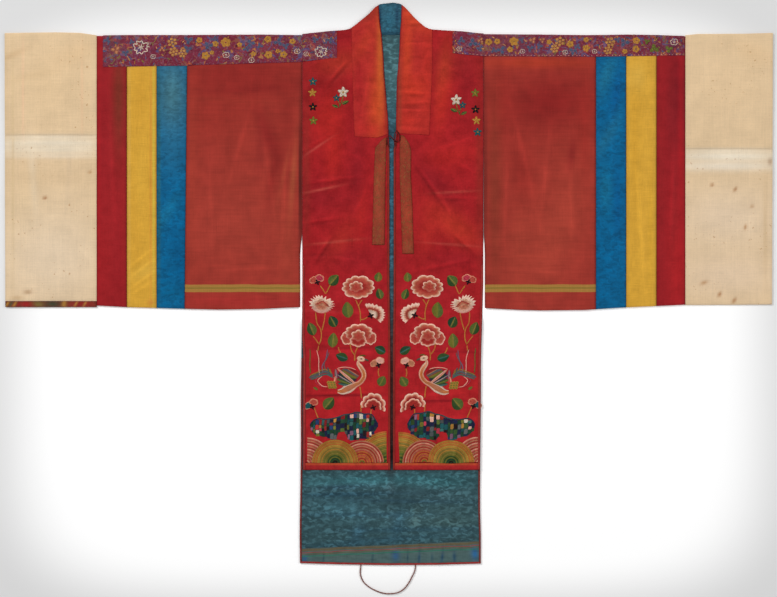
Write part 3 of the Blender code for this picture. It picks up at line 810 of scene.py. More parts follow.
STRIPE_SHADES = table(Shade, (
    (652, 430, 90, 110, 20, (116, 20, 30), 0.85),
    (646, 60, 90, 120, 22, (178, 32, 36), 0.85),
    (-640, 60, 90, 130, 16, (168, 32, 36), 0.6),
    (-607, 420, 90, 130, 15, (118, 50, 34), 0.8),
    (-640, 430, 90, 120, 10, (150, 28, 34), 0.5),
    (-622, 150, 90, 160, 18, (160, 32, 36), 0.5),
    (-596, 120, 90, 200, 5, (166, 38, 36), 0.5),
    (-652, 200, 90, 300, 4, (172, 28, 34), 0.6),
    (-620, -30, 0, 30, 20, (150, 30, 34), 0.4),
    (656, 300, 90, 300, 7, (170, 26, 34), 0.7),
    (634, 400, 90, 100, 10, (132, 28, 34), 0.6),
    (612, 250, 90, 250, 7, (146, 30, 34), 0.5),
    (640, 120, 86, 90, 12, (138, 30, 34), 0.4),
))
CUFF_SHADES = table(Shade, (
    (-822, 440, 90, 110, 2.6, (240, 196, 160), 0.7),
    (-690, 440, 90, 110, 2.6, (236, 190, 152), 0.5),
    # Painted shade of a soft fold at the cuff's upper corner.
    (-846, 516, 24, 34, 7, (208, 172, 130), 0.6),
    (-800, 470, 12, 50, 8, (214, 182, 140), 0.5),
    (-720, 250, 86, 70, 6, (210, 184, 152), 0.5),
    (-800, 240, 94, 70, 8, (236, 220, 196), 0.5),
    (-760, 318, 0, 150, 11, (238, 226, 204), 0.85),
    (-760, 303, 0, 150, 10, (237, 223, 199), 0.8),
    (-760, 289, 0, 140, 6, (235, 218, 193), 0.7),
    (-760, 450, 0, 90, 90, (232, 200, 156), 0.5),
    (-700, 520, 20, 60, 24, (224, 190, 146), 0.5),
    (-760, 240, 0, 110, 22, (216, 186, 146), 0.5),
    (-820, 180, 80, 90, 30, (226, 196, 152), 0.4),
    (-760, 60, 0, 130, 110, (234, 212, 184), 0.7),
    (-773, 195, 0, 4.5, 3.4, (160, 98, 48), 0.95),
    (-812, -17, 0, 9, 4, (150, 104, 62), 0.7),
    (-672, 253, 20, 4, 3.2, (176, 122, 72), 0.8),
    (-836, -30, 0, 14, 5, (188, 150, 104), 0.5),
    (-846, 250, 90, 320, 2.6, (214, 186, 142), 0.6),
    (-664, 200, 90, 300, 2.6, (236, 200, 158), 0.6),
    (-758, 332, 0, 110, 5, (236, 222, 198), 0.7),
    (760, 288, 0, 150, 11, (240, 230, 210), 0.85),
    (760, 266, 0, 150, 11, (240, 228, 208), 0.8),
    (760, 450, 0, 90, 90, (234, 202, 160), 0.5),
    (820, 520, -20, 50, 24, (226, 192, 148), 0.5),
    (760, 150, 0, 130, 70, (232, 208, 180), 0.7),
    (760, 20, 0, 130, 50, (232, 206, 178), 0.6),
    (726, 224, 0, 4, 3.4, (160, 100, 48), 0.9),
    (778, 214, 60, 6, 3.4, (160, 100, 50), 0.85),
    (816, 176, 0, 4, 3.2, (176, 124, 74), 0.7),
    (801, 129, 80, 6, 3.2, (172, 116, 64), 0.8),
    (708, 4, 20, 8, 4, (176, 120, 68), 0.7),
    (743, -22, 70, 6, 3.6, (160, 100, 48), 0.9),
    (776, -36, 60, 7, 3.6, (164, 104, 52), 0.85),
    (856, 276, 90, 9, 3.6, (150, 110, 80), 0.7),
    (846, 120, 90, 120, 5, (208, 176, 134), 0.5),
    (758, 301, 0, 110, 5, (238, 224, 200), 0.7),
))
TRIM_SHADES = table(Shade, (
    (-858, -44, 60, 8, 2.0, (196, 150, 60), 0.8),
    (-850, -44, 60, 8, 2.4, (60, 90, 60), 0.8),
    (-841, -44, 60, 8, 2.4, (190, 140, 56), 0.8),
    (-832, -44, 60, 8, 2.6, (150, 32, 34), 0.8),
    (-815, -44, 0, 14, 8, (158, 30, 34), 0.9),
    (-788, -44, 70, 8, 12, (128, 112, 58), 0.8),
    (-755, -44, 0, 20, 9, (48, 70, 52), 0.85),
    (-730, -44, 80, 9, 5, (190, 148, 62), 0.8),
    (-690, -44, 0, 32, 9, (150, 36, 36), 0.85),
    (-704, -44, 60, 8, 2.2, (196, 150, 70), 0.7),
    (-684, -44, 60, 8, 2.2, (196, 150, 70), 0.7),
))
TIE_SHADES = table(Shade, (
    (-26, 240, 90, 16, 6, (160, 84, 50), 0.5),
    (44, 210, 90, 14, 6, (164, 82, 50), 0.5),
    (-24, 180, 90, 60, 8, (156, 72, 50), 0.5),
    (-26, 110, 90, 24, 8, (130, 64, 46), 0.5),
    (-20, 300, 70, 30, 8, (138, 54, 40), 0.5),
    (40, 250, 90, 50, 8, (128, 52, 38), 0.5),
    (42, 160, 90, 40, 9, (172, 66, 44), 0.6),
    (44, 82, 90, 14, 9, (140, 76, 50), 0.5),
))


def deselect_all():
    bpy.ops.object.select_all(action="DESELECT")


def paint(mesh, colours):
    """Keeps a colour for each point of a mesh, for its material to read."""
    layer = mesh.color_attributes.new("tint", "FLOAT_COLOR", "POINT")
    full = np.ones((len(colours), 4))
    full[:, :3] = np.clip(colours, 0.0, 1.0)
    layer.data.foreach_set("color", full.astype(np.float32).ravel())


def finish_piece(piece, slot, stands_for):
    """Gives a piece its material, hangs it under the root body, and hides the parts of the model that it
    stands for.
    """
    piece.data.materials.clear()
    piece.data.materials.append(materials[slot])
    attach(piece, "root")
    if stands_for:
        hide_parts(*stands_for)


def grid_piece(name, columns, rows):
    """A flat grid of points, and how far across and down it each one is, from 0 to 1."""
    deselect_all()
    bpy.ops.mesh.primitive_grid_add(x_subdivisions=columns, y_subdivisions=rows, size=2)
    piece = bpy.context.object
    piece.name = name
    corners = np.empty(len(piece.data.vertices) * 3)
    piece.data.vertices.foreach_get("co", corners)
    shares = (corners.reshape(-1, 3) + 1) / 2
    return piece, shares[:, 0], shares[:, 1]


def join_points(reach, outwards=False):
    """Makes one point of those within a reach, and turns the faces outwards where that is asked for."""
    bpy.ops.object.mode_set(mode="EDIT")
    bpy.ops.mesh.select_all(action="SELECT")
    bpy.ops.mesh.remove_doubles(threshold=reach * MM)
    if outwards:
        bpy.ops.mesh.normals_make_consistent(inside=False)
    bpy.ops.object.mode_set(mode="OBJECT")


def cloth(name, slot, columns, rows, place, tint, wall, stands_for, closed=False, edge_shade=EDGE_SHADE):
    """A grid of points laid where the cloth lies, dyed, darkened towards its edge by painted shade, and given
    its thickness downwards or inwards.
    """
    piece, across, down = grid_piece(name, columns, rows)
    mesh = piece.data
    mesh.name = name
    x, y, z, rim = place(across, down)
    near = np.exp(-rim / EDGE_WIDTH)
    z = z - EDGE_DROP * near * np.sign(z - FOLD_RADIUS).clip(0, 1)
    mesh.vertices.foreach_set("co", (np.column_stack((x, y, z)) * MM).ravel())
    # Painted shade: the colour darkens towards the cloth's edge, down to edge_shade at the rim.
    paint(mesh, tint(x, y) * (1 - (1 - edge_shade) * near)[:, None])
    if closed:
        join_points(SLEEVE_JOIN)
    wall_step = piece.modifiers.new("wall", "SOLIDIFY")
    wall_step.thickness = wall * MM
    wall_step.offset = -1
    bpy.ops.object.modifier_apply(modifier="wall")
    bpy.ops.object.shade_smooth()
    if edge_shade == SOFT_EDGE:
        bpy.ops.object.shade_smooth_by_angle(angle=math.radians(SMOOTH_ANGLE))
    finish_piece(piece, slot, stands_for)
    return piece


def settle(sides, ends, u, v):
    """Where the lines across and down a panel meet, for edges that bend both ways."""
    low, high = ends
    left, right = sides
    y = np.full(len(u), (float(low(0.0)) + float(high(0.0))) / 2)
    for _ in range(SETTLING_ROUNDS):
        x = blend(left(y), right(y), u)
        y = blend(low(x), high(x), v)
    return blend(left(y), right(y), u), y


def panel(sides, ends, top_face, lift=no_lift, crown=0.0):
    """The places of a flat panel: across, down and up, and how far in from its edge each one is."""
    def place(u, v):
        x, y = settle(sides, ends, u, v)
        width = sides[1](y) - sides[0](y)
        length = ends[1](x) - ends[0](x)
        rim = np.minimum(np.minimum(u, 1 - u) * width, np.minimum(v, 1 - v) * length)
        z = top_face + lift(x, y) + crown * (1 - (2 * u - 1) ** 2)
        return x, y, z, rim
    return place


def wrapped(sides, ends, top_face, parts, lift):
    """The places of a cloth that runs round a flat sleeve: parts name its stretches, each with its rows."""
    names = [name for name, rows in parts]
    stretches = [(name, number / rows) for name, rows in parts for number in range(rows)]
    stretches.append((names[-1], 1.0))
    kinds = np.array([name for name, share in stretches])
    shares = np.array([share for name, share in stretches])
    radius = top_face - FOLD_RADIUS
    low_fold = FOLD_RADIUS if "bottom" in names else 0.0
    high_fold = FOLD_RADIUS if "top" in names else 0.0
    sweep = HALF_TURN if "back" in names else BAND_TURN

    def place(u, v):
        row = np.rint(v * (len(stretches) - 1)).astype(int)
        kind, share = kinds[row], shares[row]
        flat = np.select([kind == "front", kind == "back", kind == "top"], [share, 1 - share, 1.0], 0.0)
        inner_ends = (inset(ends[0], low_fold), inset(ends[1], -high_fold))
        x, y = settle(sides, inner_ends, u, flat)
        over = np.radians(90 - sweep * share)
        under = np.radians(-90 - 180 * share)
        front = top_face + lift(x, y)
        z = np.select([kind == "front", kind == "back", kind == "top"],
                      [front, FOLD_RADIUS - radius, FOLD_RADIUS + radius * np.sin(over)],
                      FOLD_RADIUS + radius * np.sin(under))
        y = y + np.select([kind == "top", kind == "bottom"],
                          [radius * np.cos(over), radius * np.cos(under)], 0.0)
        width = sides[1](y) - sides[0](y)
        rim = np.minimum(u, 1 - u) * width
        if "bottom" not in names or "top" not in names:
            reach = np.abs(inner_ends[1](x) - inner_ends[0](x))
            free = flat if "bottom" not in names else 1 - flat
            rim = np.minimum(rim, free * reach)
        return x, y, z, rim
    return place


def even(length, step):
    """How many steps of about this size a length takes."""
    return max(2, round(abs(length) / step))


def span(sides, ends):
    """A panel's greatest width and height, and its flat area, worked out from its edges."""
    across, down = np.meshgrid(np.linspace(0, 1, AREA_CELLS), np.linspace(0, 1, AREA_CELLS))
    x, y = (values.reshape(across.shape) for values in settle(sides, ends, across.ravel(), down.ravel()))
    rising = (x[1:, 1:] - x[:-1, :-1]) * (y[1:, :-1] - y[:-1, 1:])
    falling = (x[1:, :-1] - x[:-1, 1:]) * (y[1:, 1:] - y[:-1, :-1])
    return float(np.ptp(x)), float(np.ptp(y)), float(np.abs(rising - falling).sum() / 2)


def cut(sides, ends):
    """Works out the width, height and flat area of the cloth a piece was cut from, both walls of a sleeve
    together, and keeps none of them.
    """
    width, height, area = span(sides, ends)


# Materials: a small helper that adds nodes, then one function for each finish.
class Weaver:
    """A material's nodes, with a short call for each kind."""

    def __init__(self, name):
        self.material = bpy.data.materials.new(name)
        self.material.use_nodes = True
        self.tree = self.material.node_tree
        self.shader = self.tree.nodes["Principled BSDF"]
        self.place = self.add("ShaderNodeTexCoord").outputs["Object"]
        split = self.add("ShaderNodeSeparateXYZ", Vector=self.place)
        self.x = split.outputs["X"]
        self.y = split.outputs["Y"]
        self.tint = self.attribute("tint").outputs["Color"]

    def add(self, kind, settings=(), **inputs):
        node = self.tree.nodes.new(kind)
        for name, value in dict(settings).items():
            setattr(node, name, value)
        for name, value in inputs.items():
            self.put(node.inputs[name], value)
        return node

    def put(self, socket, value):
        if isinstance(value, bpy.types.NodeSocket):
            self.tree.links.new(value, socket)
        else:
            socket.default_value = value

    def attribute(self, name):
        return self.add("ShaderNodeAttribute", {"attribute_name": name})

    def maths(self, operation, first, second=0.0, third=0.0):
        node = self.add("ShaderNodeMath", {"operation": operation})
        for socket, value in zip(node.inputs, (first, second, third)):
            self.put(socket, value)
        return node.outputs[0]

    def plus(self, first, second):
        return self.maths("ADD", first, second)

    def product(self, first, second):
        return self.maths("MULTIPLY", first, second)

    def stretch(self, across, down, turn=0.0):
        """Places scaled so that one unit is this many millimetres across and down."""
        node = self.add("ShaderNodeMapping", Vector=self.place)
        node.inputs["Rotation"].default_value = (0.0, 0.0, math.radians(turn))
        node.inputs["Scale"].default_value = (1 / (across * MM), 1 / (down * MM), 1 / (across * MM))
        return node.outputs[0]

    def noise(self, across, down=None, detail=2.0, distortion=0.0, turn=0.0):
        place = self.stretch(across, down or across, turn)
        return self.add("ShaderNodeTexNoise", Vector=place, Scale=1.0, Detail=detail,
                        Distortion=distortion).outputs[0]

    def remap(self, value, low, high, to_low=0.0, to_high=1.0, smooth=True):
        node = self.add("ShaderNodeMapRange")
        node.interpolation_type = "SMOOTHSTEP" if smooth else "LINEAR"
        for socket, number in zip(node.inputs, (value, low, high, to_low, to_high)):
            self.put(socket, number)
        return node.outputs[0]

    def swing(self, value, middle, amount, spread=0.25):
        """A noise about 0.5, turned into a number that swings by an amount to both sides of a middle."""
        return self.remap(value, 0.5 - spread, 0.5 + spread, middle - amount, middle + amount, False)

    def uneven_dye(self, threads, slub, uneven, blotch):
        """How light the dye is at each place: light and dark threads, in larger uneven patches."""
        return self.plus(self.swing(threads, 1.0, slub), self.swing(uneven, 0.0, blotch))

    def mix(self, share, first, second):
        node = self.add("ShaderNodeMix", {"data_type": "RGBA"})
        self.put(node.inputs[0], share)
        self.put(node.inputs[6], first)
        self.put(node.inputs[7], second)
        return node.outputs[2]

    def times(self, colour, factor):
        node = self.add("ShaderNodeVectorMath", {"operation": "SCALE"}, Vector=colour, Scale=factor)
        return node.outputs[0]

    def contour(self, value, middle, width):
        """1 along the lines where a value passes its middle, 0 away from them."""
        return self.remap(self.maths("ABSOLUTE", self.maths("SUBTRACT", value, middle)), 0.0, width, 1.0, 0.0)

    def threads(self, width, length):
        """Slubby threads both ways, about 0.5 with a little more or less."""
        warp = self.noise(width, length, detail=1.0)
        weft = self.noise(length, width, detail=1.0)
        return self.product(self.plus(warp, weft), 0.5)

    def finish(self, colour, rough, bump, distance, sheen=0.0, sheen_rough=0.4, specular=0.1):
        shader = self.shader
        self.put(shader.inputs["Base Color"], colour)
        self.put(shader.inputs["Roughness"], rough)
        shader.inputs["Specular IOR Level"].default_value = specular
        shader.inputs["Sheen Weight"].default_value = sheen
        shader.inputs["Sheen Roughness"].default_value = sheen_rough
        relief = self.add("ShaderNodeBump", Height=bump, Distance=distance * MM)
        relief.inputs["Strength"].default_value = 1.0
        self.put(shader.inputs["Normal"], relief.outputs[0])
        return self.material


def rgb(colour):
    return (*(float(part) for part in light(colour)), 1.0)


def silk(name, thread=0.7, thread_length=26.0, slub=0.16, blotch=0.16, blotch_size=24.0, rough=0.5,
         sheen=0.0, relief=0.35, crumple=1.0):
    """Plain silk: fine threads, uneven dye and small crumples."""
    weave = Weaver(name)
    threads = weave.threads(thread, thread_length)
    uneven = weave.noise(blotch_size, detail=4.0)
    small = weave.noise(blotch_size / 5, detail=3.0)
    factor = weave.uneven_dye(threads, slub, uneven, blotch)
    factor = weave.plus(factor, weave.swing(small, 0.0, blotch / 2))
    colour = weave.times(weave.tint, factor)
    crumples = weave.noise(17.0, 11.0, detail=3.0, distortion=0.6)
    height = weave.plus(weave.product(crumples, crumple), weave.product(threads, 0.3))
    return weave.finish(colour, weave.remap(uneven, 0.3, 0.7, rough - 0.06, rough + 0.08), height, relief * 2,
                        sheen=sheen)


def damask(name, pale, deep, size=10.0, share=0.6, rough=0.5, slub=0.14):
    """Damask with a small figure of soft light and dark strokes, some of it rubbed away."""
    weave = Weaver(name)
    threads = weave.threads(0.8, 22.0)
    figure = weave.noise(size, size * 0.58, detail=2.0, distortion=0.7)
    wear_and_painted_shade = weave.noise(size * 7, size * 3, detail=2.0)
    strokes = weave.product(weave.remap(figure, 0.48, 0.66), weave.remap(wear_and_painted_shade, 0.36, 0.56, 0.35, 1.0))
    hollows = weave.remap(figure, 0.5, 0.34)
    uneven = weave.noise(30.0, detail=4.0)
    factor = weave.uneven_dye(threads, slub, uneven, 0.16)
    factor = weave.maths("MULTIPLY_ADD", strokes, share * (pale - 1), factor)
    factor = weave.maths("MULTIPLY_ADD", hollows, share * (deep - 1), factor)
    height = weave.plus(weave.product(strokes, 0.5), weave.product(threads, 0.5))
    gloss = weave.remap(strokes, 0.0, 1.0, rough, rough - 0.14)
    return weave.finish(weave.times(weave.tint, factor), gloss, height, 0.5)


STRIPE_MIDDLE = -8.6
STRIPE_HALF = 10.4
CORE_MIDDLE = -8.0
CORE_HALF = 2.4


def striped_gauze(name):
    """Faded sleeve gauze with its woven olive stripe near the seam."""
    weave = Weaver(name)
    threads = weave.threads(1.0, 46.0)
    uneven = weave.noise(34.0, 40.0, detail=5.0)
    streaks = weave.noise(90.0, 5.0, detail=3.0)
    wobble = weave.remap(weave.noise(60.0, detail=1.0), 0.3, 0.7, -0.0006, 0.0006, False)
    down = weave.plus(weave.y, wobble)
    stripe = weave.contour(down, STRIPE_MIDDLE * MM, STRIPE_HALF * MM)
    stripe = weave.remap(stripe, 0.02, 0.16)
    core = weave.contour(down, CORE_MIDDLE * MM, CORE_HALF * MM)
    factor = weave.uneven_dye(threads, 0.13, uneven, 0.15)
    factor = weave.plus(factor, weave.swing(streaks, 0.0, 0.06, 0.2))
    ground = weave.times(weave.tint, factor)
    olive = weave.mix(weave.product(core, 0.75), rgb((164, 120, 58)), rgb((112, 104, 40)))
    colour = weave.mix(stripe, ground, weave.times(olive, weave.swing(threads, 1.0, 0.16)))
    crumples = weave.noise(30.0, 50.0, detail=3.0)
    height = weave.plus(weave.product(threads, 0.6), crumples)
    return weave.finish(colour, 0.62, height, 0.6, sheen=0.05)


def cotton(name):
    """Cream plain weave with thick uneven threads and faint checks."""
    weave = Weaver(name)
    threads = weave.threads(1.9, 70.0)
    fine = weave.threads(0.9, 9.0)
    uneven = weave.noise(46.0, detail=5.0)
    foxing = weave.product(weave.remap(weave.noise(6.5, detail=2.0), 0.67, 0.72),
                           weave.remap(weave.noise(80.0, detail=1.0), 0.5, 0.6, 0.1, 1.0))
    factor = weave.uneven_dye(threads, 0.07, uneven, 0.07)
    factor = weave.plus(factor, weave.swing(fine, 0.0, 0.05, 0.2))
    colour = weave.times(weave.tint, factor)
    colour = weave.mix(weave.product(foxing, 0.55), colour, rgb((176, 122, 72)))
    crumples = weave.noise(26.0, 18.0, detail=3.0)
    height = weave.plus(weave.product(threads, 0.8), weave.product(crumples, 0.8))
    height = weave.plus(height, weave.product(fine, 0.3))
    return weave.finish(colour, 0.9, height, 0.8)


Patch = namedtuple("Patch", "size start strength first second")
BROCADE_PATCHES = table(Patch, (
    (17.0, 0.6, 0.55, (190, 88, 56), (142, 90, 58)),
    (24.0, 0.61, 0.6, (66, 82, 132), (80, 92, 124)),
    (14.0, 0.65, 0.6, (200, 136, 58), (120, 116, 62)),
))


def brocade(name):
    """The purple ground of the shoulder bands, with thin scrolling vines in several colours."""
    weave = Weaver(name)
    threads = weave.threads(0.8, 14.0)
    vines = weave.noise(18.0, detail=1.5, distortion=2.0)
    twigs = weave.noise(11.0, detail=1.0, distortion=1.6)
    tone = weave.noise(26.0, detail=1.0)
    uneven = weave.noise(18.0, detail=4.0)
    factor = weave.uneven_dye(threads, 0.22, uneven, 0.24)
    colour = weave.times(weave.tint, factor)
    for patch in BROCADE_PATCHES:
        spread = weave.noise(patch.size, detail=1.0, distortion=1.6)
        place = weave.remap(spread, patch.start, patch.start + 0.05)
        pair = weave.mix(weave.remap(tone, 0.45, 0.55), rgb(patch.first), rgb(patch.second))
        colour = weave.mix(weave.product(place, patch.strength), colour, pair)
    cool = weave.mix(weave.remap(tone, 0.42, 0.58), rgb((76, 80, 112)), rgb((150, 104, 112)))
    colour = weave.mix(weave.product(weave.contour(vines, 0.5, 0.05), 0.45), colour, cool)
    pale = weave.mix(weave.remap(tone, 0.4, 0.5), rgb((196, 160, 150)), rgb((150, 116, 150)))
    colour = weave.mix(weave.product(weave.contour(twigs, 0.5, 0.03), 0.22), colour, pale)
    height = weave.plus(weave.product(threads, 0.7), weave.contour(vines, 0.5, 0.06))
    return weave.finish(colour, 0.55, height, 0.5)


HemStripe = namedtuple("HemStripe", "down half colour strength")
HEM_STRIPES = table(HemStripe, (
    (4.0, 4.2, (98, 84, 58), 0.85),
    (9.6, 1.8, (140, 66, 54), 0.75),
    (13.0, 2.2, (88, 92, 60), 0.7),
    (17.4, 1.6, (44, 112, 88), 0.8),
))


def striped_hem(name):
    """The hem facing: teal damask under a woven selvage of brown, red and green lines."""
    weave = Weaver(name)
    threads = weave.threads(0.9, 30.0)
    rate = (FACING_LINE[1].y - FACING_LINE[0].y) / (FACING_LINE[1].x - FACING_LINE[0].x)
    line_y = weave.maths("MULTIPLY_ADD", weave.x, rate, (FACING_LINE[0].y - rate * FACING_LINE[0].x) * MM)
    below = weave.maths("SUBTRACT", line_y, weave.y)
    wobble = weave.remap(weave.noise(40.0, detail=2.0), 0.3, 0.7, -0.001, 0.001, False)
    below = weave.plus(below, wobble)
    uneven = weave.noise(22.0, 9.0, detail=3.0)
    factor = weave.uneven_dye(threads, 0.14, uneven, 0.2)
    colour = weave.times(weave.tint, factor)
    for line in HEM_STRIPES:
        share = weave.contour(below, line.down * MM, line.half * MM)
        share = weave.product(weave.remap(share, 0.0, 0.6), line.strength)
        colour = weave.mix(share, colour, weave.times(rgb_socket(weave, line.colour), factor))
    return weave.finish(colour, 0.6, weave.plus(threads, uneven), 0.5)


def rgb_socket(weave, colour):
    node = weave.add("ShaderNodeRGB")
    node.outputs[0].default_value = rgb(colour)
    return node.outputs[0]


def ribbon_damask(name):
    """Brown-red ribbon with olive flecks."""
    weave = Weaver(name)
    threads = weave.threads(0.8, 12.0)
    flecks = weave.remap(weave.noise(4.6, 6.0, detail=2.0, distortion=1.0), 0.54, 0.62)
    uneven = weave.noise(12.0, detail=3.0)
    factor = weave.uneven_dye(threads, 0.16, uneven, 0.2)
    colour = weave.mix(weave.product(flecks, 0.5), weave.times(weave.tint, factor), rgb((134, 88, 48)))
    return weave.finish(colour, 0.6, weave.plus(threads, flecks), 0.4)


STITCH_PITCH = 1.1


def stitched(name):
    """Satin stitches: smooth threads side by side, along the direction that each shape gives them."""
    weave = Weaver(name)
    across = weave.attribute("stitch").outputs["Fac"]
    wave = weave.maths("SINE", weave.product(across, 2 * math.pi / STITCH_PITCH))
    grain = weave.noise(2.2, detail=2.0)
    wear_and_painted_shade = weave.noise(14.0, detail=3.0)
    # Each thread is painted lighter on its crest and darker between threads: painted highlight and shade that
    # follow the bump's wave.
    factor = weave.plus(weave.remap(wave, -1.0, 1.0, 0.9, 1.14, False), weave.swing(grain, 0.0, 0.08, 0.2))
    factor = weave.plus(factor, weave.swing(wear_and_painted_shade, 0.0, 0.08, 0.2))
    return weave.finish(weave.times(weave.tint, factor), 0.42, wave, 0.22, specular=0.16)


def twisted(name):
    """Twisted cord with a fine grain; the darker grooves between its plies are painted shade in its tint."""
    weave = Weaver(name)
    grain = weave.noise(1.6, detail=2.0)
    factor = weave.swing(grain, 1.0, 0.2, 0.2)
    return weave.finish(weave.times(weave.tint, factor), 0.8, grain, 0.3, specular=0.15)


def make_materials():
    """One finish for each of the record's material slots, and one for the embroidery."""
    return {
        "red_silk": silk("red_silk", blotch=0.2, rough=0.46),
        "back_silk": silk("back_silk", blotch=0.1, rough=0.6),
        "collar_silk": silk("collar_silk", blotch=0.17, blotch_size=18.0, rough=0.46, crumple=1.2),
        "lining_damask": damask("lining_damask", 2.5, 0.62, size=13.0),
        "neck_damask": damask("neck_damask", 1.7, 0.6, size=9.0),
        "hem_damask": striped_hem("hem_damask"),
        "sleeve_gauze": striped_gauze("sleeve_gauze"),
        "blue_damask": damask("blue_damask", 1.35, 0.66, size=12.0, rough=0.48),
        "yellow_silk": silk("yellow_silk", thread=1.2, thread_length=30.0, blotch=0.08, rough=0.5,
                            crumple=0.8),
        "stripe_silk": silk("stripe_silk", blotch=0.12, rough=0.48, crumple=0.7),
        "cuff_cotton": cotton("cuff_cotton"),
        "brocade": brocade("brocade"),
        "binding": silk("binding", thread=0.6, thread_length=8.0, blotch=0.2, blotch_size=10.0, rough=0.6),
        "tie_damask": ribbon_damask("tie_damask"),
        "stripe_trim": silk("stripe_trim", thread=1.2, thread_length=8.0, blotch=0.2, blotch_size=8.0,
                            rough=0.8),
        "loop_cord": twisted("loop_cord"),
        "embroidery": stitched("embroidery"),
    }


materials = make_materials()


# The cloth, layer by layer.
BINDING_DYE = dyed((164, 54, 50))
PIPING_DYE = dyed((128, 54, 50))
CENTRE_DYE = dyed((146, 46, 38))
HEM_BAND_DYE = dyed((164, 36, 38), (
    Shade(-92, -403, 0, 150, 2.6, (204, 92, 48), 0.85),
    Shade(106, -403, 0, 150, 2.6, (204, 92, 48), 0.85),
))


def make_back():
    """The back, its lining, the facing of its hem, and the back of the collar, with the piping on them."""
    left, right = column(BACK_OUTLINE, "left"), column(BACK_OUTLINE, "right")
    sides = (left, right)
    hem, facing, neck = (column(rows, "y") for rows in (HEM_LINE, FACING_LINE, NECK_LINE))
    ends = (hem, level(BACK_TOP))
    piece = cloth("back_cloth", "back_silk", 24, 60, panel(sides, ends, BACK_TOP_FACE),
                  dyed((148, 36, 34)), CLOTH_WALL, ("back_panel",))
    cut(sides, ends)
    ends = (inset(facing, SEAM), level(NECK_SEAM - SEAM))
    piece = cloth("lining_cloth", "lining_damask", 80, 230, panel(sides, ends, LINING_TOP_FACE, lining_lift),
                  dyed((51, 79, 85), LINING_SHADES, LINING_CREASES), THIN_WALL, ("back_lining",),
                  edge_shade=SOFT_EDGE)
    strips = (
        ("left", (left, inset(left, PIPING)), LEFT_PIPING_TOP),
        ("right", (inset(right, -PIPING), right), RIGHT_PIPING_TOP),
    )
    foot = inset(hem, PIPING + SEAM)
    pipings = [bead("back_piping_" + side + "_cloth", strip, (foot, level(top)), EDGING_TOP_FACE, no_lift,
                    100, PIPING_DYE, ("piping_back_" + side,)) for side, strip, top in strips]
    cut(sides, ends)
    ends = (hem, facing)
    piece = cloth("hem_facing_cloth", "hem_damask", 136, 16, panel(sides, ends, LINING_TOP_FACE, pucker_lift),
                  dyed((74, 98, 98), FACING_SHADES, PUCKERS), THIN_WALL, ("hem_facing",),
                  edge_shade=SOFT_EDGE)
    piping = cloth("back_piping_hem_cloth", "binding", 90, 4,
                   panel(sides, (hem, inset(hem, PIPING)), EDGING_TOP_FACE), BINDING_DYE, THIN_WALL,
                   ("piping_back_hem",))
    cut(sides, ends)
    neck_sides = (level(NECK_SIDES[0]), level(NECK_SIDES[1]))
    ends = (level(BACK_TOP + SEAM), neck)
    piece = cloth("collar_back_cloth", "collar_silk", 60, 16, panel(neck_sides, ends, BACK_TOP_FACE),
                  dyed((160, 50, 38)), CLOTH_WALL, ("collar_back",))
    cut(neck_sides, ends)
    ends = (level(NECK_SEAM), neck)
    piece = cloth("neck_facing_cloth", "neck_damask", 76, 26, panel(neck_sides, ends, LINING_TOP_FACE),
                  dyed((46, 90, 108), NECK_SHADES), THIN_WALL, ("neck_facing",))
    cut(neck_sides, ends)


def bead(name, sides, ends, top_face, lift, rows, dye, stands_for):
    """A folded strip of binding, rounded across."""
    place = panel(sides, ends, top_face - BEAD_SINK, lift, crown=BEAD_CROWN)
    return cloth(name, "binding", 4, rows, place, dye, THIN_WALL, stands_for)


def make_front(side, outline, collar, outer):
    """One front with its hem band, its collar and its bindings; outer is the edge away from the centre."""
    left, right = column(outline, "left"), column(outline, "right")
    sides = (left, right)
    neck = column(NECK_LINE, "y")
    band_top = FRONT_HEM + HEM_BAND_HEIGHT
    ends = (level(band_top), neck)
    name = "front_" + side + "_cloth"
    front = cloth(name, "red_silk", even(FRONT_WIDTH, FRONT_STEP), even(FRONT_LENGTH, FRONT_STEP),
                  panel(sides, ends, FRONT_TOP_FACE, front_lift),
                  dyed(CRIMSON, FRONT_SHADES + FRONT_LINES, WRINKLES), CLOTH_WALL,
                  ("front_" + side,))
    centre = "left" if outer == "right" else "right"
    strips = {
        "left": lambda width: (left, inset(left, width)),
        "right": lambda width: (inset(right, -width), right),
    }
    bindings = [
        bead("centre_binding_" + side + "_cloth", strips[centre](CENTRE_BINDING),
             (level(FRONT_HEM), level(BINDING_TOP)), OVERLAY_TOP_FACE, front_lift, 180, CENTRE_DYE,
             ("piping_centre_" + side,)),
        bead("side_binding_" + side + "_cloth", strips[outer](SIDE_BINDING),
             (level(FRONT_HEM), level(SIDE_BINDING_TOP)), OVERLAY_TOP_FACE, front_lift, 110, BINDING_DYE,
             ("piping_side_" + side,)),
    ]
    cut(sides, ends)
    ends = (level(FRONT_HEM), level(band_top - SEAM))
    piece = cloth("hem_band_" + side + "_cloth", "binding", 56, 8,
                  panel(sides, ends, FRONT_TOP_FACE + HEM_BAND_RISE, front_lift), HEM_BAND_DYE, CLOTH_WALL,
                  ("hem_band_" + side,))
    cut(sides, ends)
    sides = (column(collar, "left"), column(collar, "right"))
    ends = (column(COLLAR_FOOT_LINE, "y"), neck)
    piece = cloth("collar_" + side + "_cloth", "collar_silk", 26, 88,
                  panel(sides, ends, OVERLAY_TOP_FACE, front_lift),
                  dyed((176, 44, 38), COLLAR_SHADES, WRINKLES), THIN_WALL, ("collar_" + side,),
                  edge_shade=SOFT_EDGE)
    cut(sides, ends)


